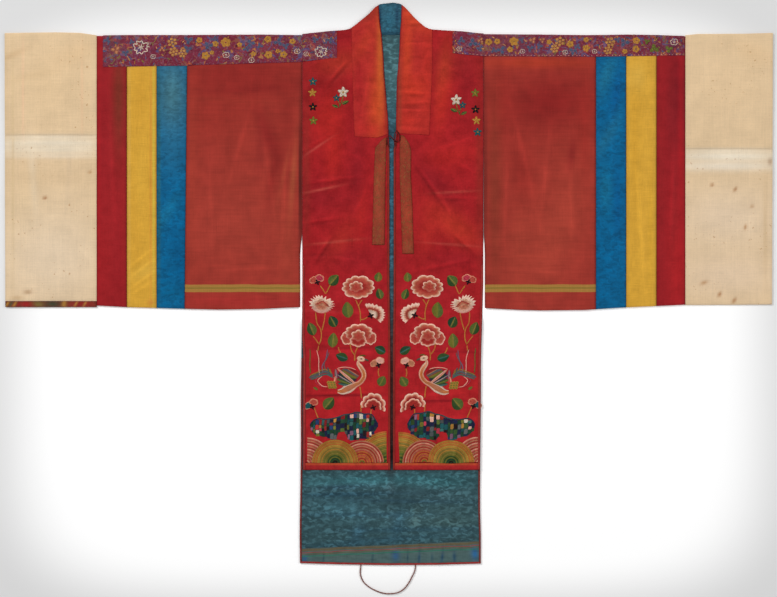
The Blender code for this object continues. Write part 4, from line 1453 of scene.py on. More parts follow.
def make_tie(side, outline):
    """One of the two short wide ribbons below the collar."""
    sides = (column(outline, "left"), column(outline, "right"))
    ends = (level(min(row.y for row in outline)), level(max(row.y for row in outline)))
    piece = cloth("tie_" + side + "_cloth", "tie_damask", 10, 90,
                  panel(sides, ends, OVERLAY_TOP_FACE, front_lift, crown=TIE_CROWN),
                  dyed((152, 60, 40), TIE_SHADES), THIN_WALL, ("tie_" + side,))
    cut(sides, ends)


BAND_SHADES = table(Shade, (
    (-620, 530, 60, 30, 24, (104, 60, 70), 0.6),
    (-560, 530, 90, 30, 26, (122, 42, 66), 0.6),
    (-400, 520, 0, 60, 20, (116, 42, 62), 0.6),
    (-300, 530, 0, 60, 24, (128, 44, 58), 0.6),
    (-240, 540, 90, 30, 20, (106, 42, 66), 0.5),
    (-150, 530, 0, 40, 30, (112, 56, 74), 0.6),
    (240, 540, 0, 60, 24, (116, 58, 66), 0.6),
    (330, 530, 0, 50, 24, (116, 46, 66), 0.6),
    (440, 540, 0, 60, 24, (128, 44, 62), 0.6),
    (520, 530, 0, 40, 24, (126, 56, 60), 0.6),
    (620, 540, 0, 50, 24, (104, 46, 62), 0.6),
))


def make_band(side, band):
    """One length of a shoulder band, flat on a front or rolled over the top of a sleeve."""
    places = sorted((band.inner, band.outer))
    sides = (level(places[0]), level(places[1]))
    low = slope(band.inner, band.low_inner, band.outer, band.low_outer)
    columns = even(places[1] - places[0], SLEEVE_STEP)
    name = "band_" + side + "_" + band.name
    dye = dyed((120, 34, 54), BAND_SHADES)
    if band.name == "body":
        ends = (low, column(NECK_LINE, "y"))
        place = panel(sides, ends, OVERLAY_TOP_FACE, front_lift)
    else:
        ends = (low, column(LEFT_SLEEVE if side == "left" else RIGHT_SLEEVE, "high"))
        place = wrapped(sides, ends, OVERLAY_TOP_FACE, (("front", 16), ("top", FOLD_ROWS)), sleeve_lift)
    piece = cloth(name + "_cloth", "brocade", columns, 20 if band.name == "body" else 16 + FOLD_ROWS, place,
                  dye, THIN_WALL, (name,), edge_shade=SOFT_EDGE)
    cut(sides, ends)


def slit_edge(slit):
    """The end of a sleeve at the body, as a function of the height."""
    open_edge, sewn_edge = slit
    return lambda y: blend(open_edge, sewn_edge, np.clip((y - SLIT_FOOT) / (SLIT_TOP - SLIT_FOOT), 0, 1))


SLEEVE_DYES = {
    "inner": dyed((158, 52, 42), GAUZE_SHADES, SLEEVE_WRINKLES),
    "blue": dyed((4, 94, 140), BLUE_SHADES, SLEEVE_WRINKLES),
    "yellow": dyed((214, 162, 56), YELLOW_SHADES, SLEEVE_WRINKLES),
    "red": dyed((152, 28, 34), STRIPE_SHADES, SLEEVE_WRINKLES),
}


def folded_cloth(name, slot, columns, sides, ends, parts, dye, lift=sleeve_lift, **look):
    """One cloth for a front wall and a back wall, and the size that both were cut to."""
    rows = sum(count for _, count in parts)
    piece = cloth(name + "_cloth", slot, columns, rows, wrapped(sides, ends, FRONT_TOP_FACE, parts, lift),
                  dye, CLOTH_WALL, (name + "_front", name + "_back"), **look)
    cut(sides, ends)


def make_sleeve(side, outline, lengths, slit):
    """A sleeve's first length and its three stripes, each one a flat tube sewn to the next."""
    outwards = -1 if side == "left" else 1
    inner = slit_edge(slit)
    ends = (column(outline, "low"), column(outline, "high"))
    for length in lengths:
        outer = slope(outline[0].low, length.bottom, outline[0].high, length.top)
        sides = (outer, inner) if side == "left" else (inner, outer)
        width, height, _ = span(sides, ends)
        parts = (("front", even(height, SLEEVE_STEP)), ("top", FOLD_ROWS),
                 ("back", even(height, COARSE_STEP)), ("bottom", FOLD_ROWS))
        step = SLEEVE_STEP if length.name == "inner" else STRIPE_STEP
        folded_cloth("sleeve_" + side + "_" + length.name, length.slot, even(width, step), sides, ends, parts,
                     SLEEVE_DYES[length.name], closed=True)
        inner = slope(outline[0].low, length.bottom + outwards * SEAM,
                      outline[0].high, length.top + outwards * SEAM)


def make_cuff(side, outline, end, seam, inner, trim=None):
    """A white cuff in two lengths, folded at the top, and closed below by a fold or by a trim."""
    outer = slope(outline[0].low, end[0], outline[0].high, end[1])
    sides = (outer, level(inner)) if side == "left" else (level(inner), outer)
    low, high = column(outline, "low"), column(outline, "high")
    columns = even(CUFF_WIDTH, CUFF_STEP)
    dye = dyed((226, 197, 158), CUFF_SHADES)
    name = "cuff_" + side
    parts = (("front", 50), ("top", FOLD_ROWS), ("back", 12))
    folded_cloth(name + "_upper", "cuff_cotton", columns, sides, (level(seam + SEAM), high), parts, dye,
                 edge_shade=SOFT_EDGE)
    ends = (low, level(seam))
    if trim is None:
        parts = (("back", 14), ("bottom", FOLD_ROWS), ("front", 80))
        folded_cloth(name + "_lower", "cuff_cotton", columns, sides, ends, parts, dye, edge_shade=SOFT_EDGE)
        return
    piece = cloth(name + "_lower_cloth", "cuff_cotton", columns, 84,
                  panel(sides, ends, FRONT_TOP_FACE, sleeve_lift), dye, CLOTH_WALL, (name + "_lower_front",),
                  edge_shade=SOFT_EDGE)
    cut(sides, ends)
    piece = cloth(name + "_lower_back_cloth", "cuff_cotton", 20, 20,
                  panel(sides, ends, CLOTH_WALL), dye, CLOTH_WALL, (name + "_lower_back",))
    cut(sides, ends)
    parts = (("back", 2), ("bottom", FOLD_ROWS), ("front", 5))
    folded_cloth(name + "_trim", "stripe_trim", 70, sides, (column(trim, "low"), column(trim, "high")), parts,
                 dyed((120, 60, 44), TRIM_SHADES), lift=no_lift)


make_back()
make_front("left", LEFT_FRONT_OUTLINE, LEFT_COLLAR_OUTLINE, "left")
make_front("right", RIGHT_FRONT_OUTLINE, RIGHT_COLLAR_OUTLINE, "right")
make_tie("left", LEFT_TIE_OUTLINE)
make_tie("right", RIGHT_TIE_OUTLINE)
for band in LEFT_BANDS:
    make_band("left", band)
for band in RIGHT_BANDS:
    make_band("right", band)
make_sleeve("left", LEFT_SLEEVE, LEFT_LENGTHS, LEFT_SLIT)
make_sleeve("right", RIGHT_SLEEVE, RIGHT_LENGTHS, RIGHT_SLIT)
make_cuff("left", LEFT_CUFF, LEFT_CUFF_END, LEFT_CUFF_SEAM, -657 - SEAM, LEFT_TRIM)
make_cuff("right", RIGHT_CUFF, RIGHT_CUFF_END, RIGHT_CUFF_SEAM, 666 + SEAM)


# Cords: a smooth route, and two plies twisted round it.
def catmull_rom(before, start, end, after, share):
    """A place between two points of a route, on a curve that also heeds their neighbours."""
    straight = end - before
    bend = 2 * before - 5 * start + 4 * end - after
    turn = 3 * start - before - 3 * end + after
    return start + 0.5 * share * (straight + share * (bend + share * turn))


def smooth_route(points, step):
    """Points along a smooth curve through a route, about a step apart."""
    points = [np.array(point, float) for point in points]
    route = []
    for number in range(len(points) - 1):
        before = points[max(0, number - 1)]
        start, end = points[number], points[number + 1]
        after = points[min(len(points) - 1, number + 2)]
        pieces = max(1, round(float(np.linalg.norm(end - start)) / step))
        route += [catmull_rom(before, start, end, after, piece / pieces) for piece in range(pieces)]
    route.append(points[-1])
    return np.array(route)


def headings(route):
    """The direction of a route at each of its points, one unit long."""
    heading = np.gradient(route, axis=0)
    return heading / np.linalg.norm(heading, axis=1)[:, None]


CORD_SIDES = 12
TWIST_PITCH = 8.0
PLY_GROOVE = 0.2


def twisted_cord(name, slot, route, diameter, dye, stands_for):
    """A tube with two plies: its section is pinched at the grooves, and turns as it goes along."""
    steps = len(route)
    piece, round_share, down_share = grid_piece(name, CORD_SIDES, steps + 1)
    mesh = piece.data
    angle = -2 * math.pi * round_share
    row = np.rint(down_share * (steps + 1)).astype(int)
    along = np.clip(row - 1, 0, steps - 1)
    heading = headings(route)
    beside = np.cross(heading, (0.0, 0.0, 1.0))
    beside /= np.linalg.norm(beside, axis=1)[:, None]
    above = np.cross(beside, heading)
    travelled = np.concatenate(((0.0,), np.cumsum(np.linalg.norm(np.diff(route, axis=0), axis=1))))
    twist = travelled[along] / TWIST_PITCH * math.pi
    radius = diameter / 2 * (1 - PLY_GROOVE * np.abs(np.sin(angle - twist)) ** 3)
    radius = np.where((row == 0) | (row == steps + 1), 0.0, radius)
    outwards = np.cos(angle)[:, None] * beside[along] + np.sin(angle)[:, None] * above[along]
    points = route[along] + radius[:, None] * outwards
    mesh.vertices.foreach_set("co", (points * MM).ravel())
    # Painted shade: the colour darkens in the grooves between the plies.
    groove = 1 - 0.5 * np.abs(np.sin(angle - twist)) ** 3
    paint(mesh, light(dye) * groove[:, None])
    join_points(CORD_JOIN, outwards=True)
    bpy.ops.object.shade_smooth()
    finish_piece(piece, slot, stands_for)
    return piece


def route_length(route):
    return float(np.linalg.norm(np.diff(route, axis=0), axis=1).sum())


def make_cords():
    """The small loop between the ties, and the hanging loop that leaves the back hem."""
    ground = OVERLAY_TOP_FACE + TIE_LOOP_RISE + TIE_CORD / 2
    lifted = [Point(x, y, z + ground + float(front_lift(np.array(x), np.array(y))))
              for x, y, z in TIE_LOOP_ROUTE]
    twisted_cord("tie_loop_cord", "loop_cord", smooth_route(lifted, TIE_LOOP_STEP), TIE_CORD, (96, 26, 26),
                 ("tie_loop",))
    route = smooth_route(HEM_LOOP_ROUTE, CORD_STEP)
    hanging = twisted_cord("hem_loop_cord", "loop_cord", route, HEM_CORD, (140, 92, 84), ("hem_loop",))


make_cords()


# Needlework: stitched shapes, each one a small grid of points, in one mesh for a front or a side's bands.
THREADS = {
    "cream": (255, 216, 186),
    "shell": (255, 222, 200),
    "blush": (242, 168, 138),
    "peach": (250, 172, 140),
    "pink": (255, 186, 166),
    "rose": (204, 62, 82),
    "coral": (206, 86, 70),
    "ember": (186, 50, 44),
    "deep": (150, 34, 36),
    "sand": (206, 130, 96),
    "orange": (208, 116, 54),
    "gold": (196, 140, 58),
    "yellow": (196, 158, 66),
    "moss": (148, 130, 58),
    "olive": (124, 122, 46),
    "leaf": (96, 114, 50),
    "forest": (56, 86, 42),
    "pine": (34, 74, 48),
    "teal": (30, 92, 96),
    "sea": (64, 116, 110),
    "blue": (40, 64, 112),
    "navy": (30, 34, 70),
    "slate": (96, 100, 100),
    "lilac": (140, 96, 120),
    "white": (232, 220, 200),
    "marigold": (204, 146, 62),
    "wheat": (220, 158, 98),
    "haze": (92, 108, 142),
    "steel": (70, 92, 118),
    "claret": (112, 36, 52),
    "ink": (36, 16, 22),
}

# How high a stitched shape stands and how deep its rim is tucked in; where the right side's shapes are.
STITCH_LIFT = 0.55
TUCK = -0.3
MIRROR_SUM = 17.0
WAVER = 1.5
LEAF_ROWS = 14
WAVE_SPOKES = 48


def turned(place, along, across, turn):
    """A place along and across a direction in degrees, seen from another place."""
    spin = math.radians(turn)
    return (place[0] + along * math.cos(spin) - across * math.sin(spin),
            place[1] + along * math.sin(spin) + across * math.cos(spin))


class Needlework:
    """Stitched shapes gathered into one mesh; mirrored takes the left side's places to the right side."""

    def __init__(self, ground, lift, mirrored=False):
        self.ground = ground
        self.lift = lift
        self.mirrored = mirrored
        self.points = []
        self.tints = []
        self.stitches = []
        self.faces = []
        self.count = 0

    def drawn(self, x, y):
        """The right side is sewn again by hand, so it is never an exact mirror of the left one."""
        if not self.mirrored:
            return x, y
        return MIRROR_SUM - x + WAVER * np.sin(y / 23.0), y - WAVER * np.cos(x / 19.0)

    def grid(self, x, y, raised, tint, stitch, around=False):
        """Adds rows of points with faces between them; around joins the last column to the first."""
        x, y = self.drawn(x, y)
        z = self.ground + self.lift(x, y) + raised
        numbers = self.count + np.arange(x.size).reshape(x.shape)
        if around:
            numbers = np.column_stack((numbers, numbers[:, :1]))
        corners = (numbers[:-1, :-1], numbers[1:, :-1], numbers[1:, 1:], numbers[:-1, 1:])
        if self.mirrored:
            corners = corners[::-1]
        self.faces += np.stack(corners, axis=-1).reshape(-1, 4).tolist()
        self.points.append(np.column_stack((x.ravel(), y.ravel(), z.ravel())))
        self.tints.append(np.broadcast_to(tint, (*x.shape, 3)).reshape(-1, 3))
        self.stitches.append(np.broadcast_to(stitch, x.shape).ravel())
        self.count += x.size

    def disc(self, place, size, turn, edge, colours, base=0.0, start=0.0, sweep=360.0, spokes=72, rings=9,
             fade=None):
        """A round or lobed patch, or a sector of one, coloured in rings from its middle to its rim."""
        full = sweep >= 360.0
        angle = np.radians(start + sweep * np.arange(spokes + (0 if full else 1)) / spokes)[None, :]
        share = (np.arange(rings + 1) / rings)[:, None]
        reach = share * edge(angle)
        x, y = turned(place, size[0] * reach * np.cos(angle), size[1] * reach * np.sin(angle), turn)
        tint = ringed(colours, np.broadcast_to(share, x.shape))
        if fade is not None:
            tint = tint + fade(angle, share)[..., None] * (light(THREADS["ember"]) - tint)
        raised = base + STITCH_LIFT * (1 - 0.4 * share ** 6) + 0.0 * angle
        raised = np.where(share >= 1.0, base + TUCK, raised)
        if not full:
            raised[:, 0] = base + TUCK
            raised[:, -1] = base + TUCK
        stitch = np.abs(angle - math.pi) * (size[0] + size[1]) / 2 + 0.0 * share
        self.grid(x, y, raised, tint, stitch, around=full)

    def leaf(self, place, length, width, turn, tones, base=0.0, blunt=0.75):
        """A leaf with its vein, stitched out from the vein to both sides."""
        t = (np.arange(LEAF_ROWS + 1) / LEAF_ROWS)[:, None]
        side = np.linspace(-1, 1, 11)[None, :]
        half = width / 2 * np.sin(math.pi * t ** 0.85) ** blunt
        along = (t - 0.5) * length + 0.0 * side
        across = side * half
        x, y = turned(place, along, across, turn)
        shade = (1 - 0.25 * np.abs(side) + 0.0 * t)[..., None]
        tint = np.where((side < 0)[..., None], light(THREADS[tones[0]]), light(THREADS[tones[1]])) * shade
        tint = tint + (np.abs(side) < 0.12)[..., None] * (light(THREADS[tones[2]]) - tint)
        rim = (np.abs(side) >= 1) | (t <= 0) | (t >= 1)
        raised = np.where(rim, base + TUCK, base + STITCH_LIFT * (1 - 0.35 * side ** 4))
        self.grid(x, y, raised, tint, along - 0.7 * np.abs(across))

    def ribbon(self, points, width, colours, base=0.0, taper=0.12, step=2.2):
        """A sewn line along a smooth route, narrow at its ends."""
        route = smooth_route([point[:2] for point in points], step)
        heading = headings(route)
        t = np.linspace(0, 1, len(route))[:, None]
        side = np.array((-1.0, -0.6, 0.0, 0.6, 1.0))[None, :]
        half = width / 2 * np.clip(np.minimum(t, 1 - t) / taper, 0.12, 1.0) ** 0.5
        x = route[:, :1] - heading[:, 1:2] * side * half
        y = route[:, 1:2] + heading[:, :1] * side * half
        tint = ringed(colours, np.broadcast_to(t, x.shape)) * (1 - 0.3 * np.abs(side) ** 3)[..., None]
        rim = (np.abs(side) >= 1) | (t <= 0) | (t >= 1)
        raised = np.where(rim, base + TUCK, base + STITCH_LIFT * (1 - 0.3 * side ** 2))
        travelled = t * route_length(route)
        self.grid(x, y, raised, tint, travelled + side * half)

    def finish(self, name, cloth_slot):
        """Makes the one mesh of all the shapes."""
        mesh = bpy.data.meshes.new(name)
        mesh.from_pydata((np.vstack(self.points) * MM).tolist(), [], self.faces)
        piece = bpy.data.objects.new(name, mesh)
        bpy.context.collection.objects.link(piece)
        paint(mesh, np.vstack(self.tints))
        layer = mesh.attributes.new("stitch", "FLOAT", "POINT")
        layer.data.foreach_set("value", np.concatenate(self.stitches).astype(np.float32))
        deselect_all()
        piece.select_set(True)
        bpy.context.view_layer.objects.active = piece
        join_points(STITCH_JOIN)
        bpy.ops.object.shade_smooth()
        mesh.materials.append(materials["embroidery"])
        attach(piece, "root")
        return piece


def ringed(colours, share):
    """A colour for each share from 0 to 1, read between the rows of a table of shares and threads."""
    places = [row[0] for row in colours]
    threads = np.array([light(THREADS[row[1]]) for row in colours])
    return np.stack([np.interp(share, places, threads[:, part]) for part in range(3)], axis=-1)


def lobed(count, depth, offset=0.0, wander=0.12):
    """The outline of a flower: round lobes, none quite as wide as the next."""
    def edge(angle):
        uneven = angle + wander * np.sin(2 * angle + offset * 3)
        return 1 - depth + depth * np.abs(np.cos(count * uneven / 2 + offset)) ** 0.7
    return edge


def shaggy(count, depth, offset=0.0):
    """The outline of a flower with pointed petals, some long and some short."""
    def edge(angle):
        turn = (count * (angle + 0.1 * np.sin(3 * angle)) / (2 * math.pi) + offset) % 1.0
        length = 0.72 + 0.28 * np.sin(5.3 * angle + 1.1)
        return 1 - depth * length * (1 - np.abs(2 * turn - 1)) + 0.05 * np.sin(3 * angle + 0.8)
    return edge


def peaked(angle):
    return 1 / (np.abs(np.cos(angle)) + np.abs(np.sin(angle)))


def starry(count, depth):
    return lambda angle: 1 - depth * (1 - np.abs(np.cos(count * angle / 2)) ** 1.6)


def round_edge(angle):
    return 1 + 0.0 * angle


PETAL_RINGS = ((0, "ember"), (0.42, "ember"), (0.6, "coral"), (0.72, "coral"), (0.8, "sand"), (0.87, "blush"),
               (0.94, "shell"), (1, "pink"))
CROWN_RINGS = ((0, "ember"), (0.3, "coral"), (0.52, "coral"), (0.68, "sand"), (0.8, "blush"), (0.91, "shell"),
               (1, "pink"))
LOBE_RINGS = ((0, "ember"), (0.45, "coral"), (0.7, "coral"), (0.8, "blush"), (0.92, "shell"), (1, "pink"))
BOWL_RINGS = ((0, "ember"), (0.6, "ember"), (0.74, "coral"), (0.84, "blush"), (0.94, "shell"), (1, "pink"))
LOTUS_RINGS = ((0, "coral"), (0.3, "sand"), (0.5, "blush"), (0.66, "cream"), (0.82, "shell"), (1, "pink"))
MOUTH_RINGS = ((0, "blush"), (0.5, "sand"), (0.78, "coral"), (0.88, "deep"), (1, "deep"))
CUP_FADE = 0.95


def open_below(angle, share):
    """A crown's rim is lost towards its foot."""
    return CUP_FADE * np.clip(-np.sin(angle) * 1.6 - 0.1, 0, 1) * share


def half_open(angle, share):
    return 0.6 * open_below(angle, share)


def whole_peony(work, x, y):
    """A wide open flower with a crown of petals in its middle."""
    work.disc((x, y), (38.5, 27.5), 4, lobed(11, 0.15, 0.4, 0.16), PETAL_RINGS, spokes=132, rings=14)
    work.disc((x - 5, y + 1), (17.5, 13.5), 4, lobed(6, 0.3, math.pi / 2, 0.05), CROWN_RINGS, base=0.5,
              spokes=84, rings=10, fade=open_below)


def layered_peony(work, x, y):
    """A flower of side lobes, a ring of petals, a bowl and a crown, one on the other."""
    for lobe_x, turn in ((-27, 12), (27, -14)):
        work.disc((x + lobe_x, y - 7), (14, 16), turn, lobed(6, 0.16, 0.7), LOBE_RINGS, spokes=60, rings=9)
    work.disc((x, y + 5), (33, 21.5), 2, lobed(10, 0.16, 0.2), PETAL_RINGS, base=0.35, spokes=120, rings=13,
              fade=open_below)
    work.disc((x - 1, y - 12), (20, 15), 0, lobed(8, 0.16, 0.4), BOWL_RINGS, base=0.7, spokes=88, rings=10)
    work.disc((x - 1, y - 1), (17.5, 14), 2, lobed(6, 0.3, math.pi / 2, 0.05), CROWN_RINGS, base=1.05,
              spokes=84, rings=10, fade=open_below)


def crested(angle):
    """Pointed petals above and at the sides, and a smooth foot."""
    crest = np.clip(1.2 + 1.6 * np.sin(angle), 0, 1)
    return 0.8 + (shaggy(21, 0.42)(angle) - 0.8) * crest


def lotus(work, x, y):
    """Pointed petals above a smooth foot, with a pointed mouth."""
    work.disc((x, y), (31, 24), -6, crested, LOTUS_RINGS, spokes=168, rings=12, fade=half_open)
    work.disc((x + 2, y - 2), (19, 13), -9, peaked, MOUTH_RINGS, base=0.5, start=0, sweep=180, spokes=40,
              rings=9)


def calyx(work, x, y, radius=6.6, turn=20):
    """A dark star with four points."""
    work.disc((x, y), (radius, radius), turn, starry(4, 0.66), ((0, "ink"), (1, "ink")), base=0.9, spokes=48,
              rings=4)


def bud(work, x, y, tones, turn=0.0):
    """Two soft lobes over a dark calyx."""
    for number, (along, across) in enumerate(((-8.5, 5.0), (5.0, 9.5))):
        place = turned((x, y), along, across, turn)
        rings = ((0, tones[number]), (0.7, tones[number]), (0.9, "peach"), (1, "sand"))
        work.disc(place, (11, 8.5), turn + 24 - 40 * number, lobed(5, 0.14, 0.4 + number), rings,
                  base=0.3 * number, spokes=50, rings=6)
    calyx(work, x, y)


def half_flower(work, x, y):
    """An opening flower that faces away from its star-shaped calyx."""
    rings = ((0, "cream"), (0.36, "shell"), (0.46, "sand"), (0.52, "deep"), (0.6, "ember"), (0.7, "blush"),
             (0.86, "shell"), (1, "pink"))
    work.disc((x, y), (32, 29), 0, shaggy(23, 0.16), rings, start=-42, sweep=161, spokes=110, rings=13)
    calyx(work, x - 1, y - 1, 7.4)


def fan_flower(work, x, y):
    """A fan of two scalloped rows over its calyx."""
    rings = ((0, "ember"), (0.55, "ember"), (0.66, "deep"), (0.75, "coral"), (0.86, "blush"), (0.94, "shell"),
             (1, "shell"))
    for number, (size, base) in enumerate((((30, 33), 0.0), ((20, 19.5), 0.5))):
        work.disc((x, y), size, -8, lobed(10 - 2 * number, 0.13, 0.3), rings, base=base, start=-14, sweep=206,
                  spokes=96, rings=13)
    calyx(work, x + 1, y - 1, 7.4)


Leaf = namedtuple("Leaf", "x y length width turn tones")
LEAVES = table(Leaf, (
    (-124, 10, 30, 25, 48, ("forest", "leaf", "moss")),
    (-24, 17, 22, 19, 80, ("olive", "leaf", "moss")),
    (-21, -21, 25, 19, 106, ("leaf", "forest", "moss")),
    (-93, -57, 37, 27, 96, ("olive", "leaf", "olive")),
    (-126, -83, 28, 24, 118, ("pine", "forest", "moss")),
    (-174, -100, 31, 23, 112, ("leaf", "forest", "moss")),
    (-126, -125, 34, 24, 84, ("olive", "leaf", "moss")),
    (-20, -147, 27, 21, 152, ("pine", "forest", "sea")),
    (-106, -163, 29, 21, 160, ("forest", "pine", "sea")),
    (-16, -217, 25, 22, 62, ("leaf", "leaf", "moss")),
    (-135, -267, 33, 27, 50, ("forest", "leaf", "moss")),
    (-165, -234, 12, 6, 150, ("leaf", "olive", "moss")),
))
STEM_WIDTH = 3.0
STEM_THREADS = ((0, "gold"), (0.4, "orange"), (1, "gold"))
STEMS = (
    ((-75, -34), (-69, -48), (-64.6, -64), (-64, -84)),
    ((-60, -34), (-68, -47), (-66, -56)),
    ((-63.5, -79), (-56, -78), (-48, -73)),
    ((-165, -62), (-162, -86), (-155, -98), (-152, -109), (-153, -124), (-158, -137)),
    ((-143, -62), (-146, -84), (-151, -104)),
    ((-155, -2), (-148, -12), (-142, -20), (-135, -7), (-130, 2)),
    ((-87, -132), (-85, -146), (-78, -158)),
    ((-69, -138), (-75, -151), (-77, -162), (-77, -172)),
    ((-171, -116), (-163, -126), (-158, -134)),
    ((-114, -140), (-112, -148), (-108, -154)),
    ((-23, -188), (-24, -198), (-22, -207)),
    ((-66, -229), (-63, -243), (-62, -256)),
    ((-63, -270), (-63, -287)),
    ((-40, -280), (-41, -292)),
    ((-168, -276), (-164, -288), (-159, -301)),
    ((-158, -137), (-160, -150)),
)

# The bird, in its parts, as places on the left front.
NECK_ROUTE = ((-68, -170), (-69, -178), (-63, -187), (-57, -198), (-57, -209), (-65, -220), (-80, -229),
              (-94, -236))
BREAST_ROUTE = ((-68, -221), (-80, -228), (-94, -235), (-105, -240), (-116, -240))
FEATHERS = table(Leaf, (
    (-96, -206, 52, 7, 140, ("pink", "peach", "deep")),
    (-99, -213, 44, 8, 148, ("navy", "slate", "cream")),
    (-100, -219, 40, 9, 158, ("forest", "leaf", "moss")),
    (-97, -225, 38, 8, 170, ("pine", "sea", "slate")),
    (-88, -200, 40, 16, 152, ("slate", "olive", "deep")),
    (-80, -198, 30, 15, 148, ("deep", "slate", "sand")),
    (-119, -201, 22, 7, 96, ("lilac", "slate", "pink")),
    (-120, -214, 18, 8, 84, ("coral", "peach", "ember")),
))
PLUMES = (
    ("slate", 6.4, ((-126, -205), (-143, -196), (-162, -203), (-180, -210))),
    ("sea", 3.4, ((-124, -210), (-142, -202), (-160, -208), (-177, -214))),
    ("moss", 2.4, ((-128, -200), (-144, -191), (-162, -198), (-178, -205))),
    ("teal", 3.0, ((-138, -186), (-136, -194), (-132, -202))),
    ("leaf", 2.2, ((-176, -200), (-178, -180), (-177, -160), (-178, -144))),
    ("pink", 2.0, ((-156, -204), (-158, -186), (-158, -166), (-163, -147))),
    ("lilac", 2.8, ((-148, -200), (-150, -184), (-142, -168), (-138, -146))),
    ("slate", 2.2, ((-140, -198), (-146, -180), (-140, -166), (-134, -152))),
    ("pink", 1.8, ((-150, -206), (-160, -216), (-150, -228), (-138, -230))),
    ("rose", 1.8, ((-158, -208), (-166, -216), (-158, -226), (-146, -231))),
    ("pink", 1.8, ((-117, -189), (-104, -186), (-88, -187), (-74, -192))),
    ("cream", 1.6, ((-112, -192), (-98, -204), (-84, -216), (-76, -221))),
    ("moss", 2.4, ((-134, -190), (-131, -196), (-130, -203))),
)


def bird(work):
    """A long-tailed bird: wing, plumes, feathers, scales, breast, neck, head, eye, beak and crest."""
    wing = ((0, "slate"), (0.5, "forest"), (0.8, "navy"), (1, "deep"))
    work.disc((-94, -207), (24, 17), -22, lobed(7, 0.1), wing, base=0.1, spokes=60, rings=8)
    for thread, width, route in PLUMES:
        work.ribbon(route, width, ((0, thread), (1, thread)), base=0.2)
    for feather in FEATHERS:
        work.leaf((feather.x, feather.y), feather.length, feather.width, feather.turn, feather.tones,
                  base=0.4, blunt=0.5)
    scale = ((0, "olive"), (0.55, "moss"), (0.8, "gold"), (1, "gold"))
    for row in range(3):
        for place in range(3):
            centre = (-136 + 6.2 * place + 1.4 * row, -220 - 5.4 * row)
            work.disc(centre, (3.9, 3.5), 0, round_edge, scale, base=0.3 + 0.12 * (row + place), spokes=18,
                      rings=4)
    work.ribbon(BREAST_ROUTE, 21.0, ((0, "peach"), (0.5, "shell"), (1, "shell")), base=0.7, taper=0.45)
    work.ribbon(BREAST_ROUTE, 16.0, ((0, "orange"), (0.4, "sand"), (1, "orange")), base=1.0, taper=0.45)
    work.ribbon(NECK_ROUTE, 11.0, ((0, "cream"), (0.5, "peach"), (1, "pink")), base=0.8, taper=0.2)
    work.ribbon(NECK_ROUTE, 7.0, ((0, "peach"), (0.4, "orange"), (1, "sand")), base=1.1, taper=0.25)
    work.disc((-63, -167), (9.5, 6), -14, round_edge, ((0, "sand"), (0.6, "cream"), (1, "peach")), base=1.2,
              spokes=30, rings=5)
    work.disc((-62, -167), (2.0, 1.4), 0, round_edge, ((0, "ink"), (1, "slate")), base=1.7, spokes=12,
              rings=2)
    work.ribbon(((-56, -168), (-51, -169), (-46, -172)), 3.4, ((0, "slate"), (1, "forest")), base=1.1)
    work.ribbon(((-67, -162), (-60, -159), (-52, -161)), 2.4, ((0, "olive"), (1, "forest")), base=1.1)


# The rock, sewn in small blocks between these two lines.
ROCK_TOP = table(Height, (
    (-178, -318), (-172, -308), (-160, -302), (-142, -303), (-126, -301), (-114, -298),
    (-101, -293), (-86, -291), (-72, -287), (-56, -291), (-40, -292), (-32, -302), (-25, -315),
))
ROCK_FOOT = table(Height, (
    (-178, -322), (-172, -334), (-160, -343), (-147, -344), (-137, -347), (-127, -352),
    (-118, -348), (-113.6, -333), (-98, -332), (-95, -344), (-89, -355), (-75, -352),
    (-58, -348), (-46, -349), (-37, -339), (-25, -320),
))
Block = namedtuple("Block", "wide tall gap")
BLOCK = Block(7.4, 10.0, 0.3)
ROCK_GROUND = (22, 52, 54)
ROCK_COLUMNS = 78
ROCK_ROWS = 9
BLOCK_THREADS = ("teal", "navy", "pine", "teal", "sea", "forest", "ink", "pine", "blue", "slate", "deep",
                 "teal", "ink", "navy", "rose", "leaf", "white", "pine", "lilac", "ink", "navy", "pink",
                 "pine", "marigold", "forest", "ember", "navy", "slate", "teal", "olive")


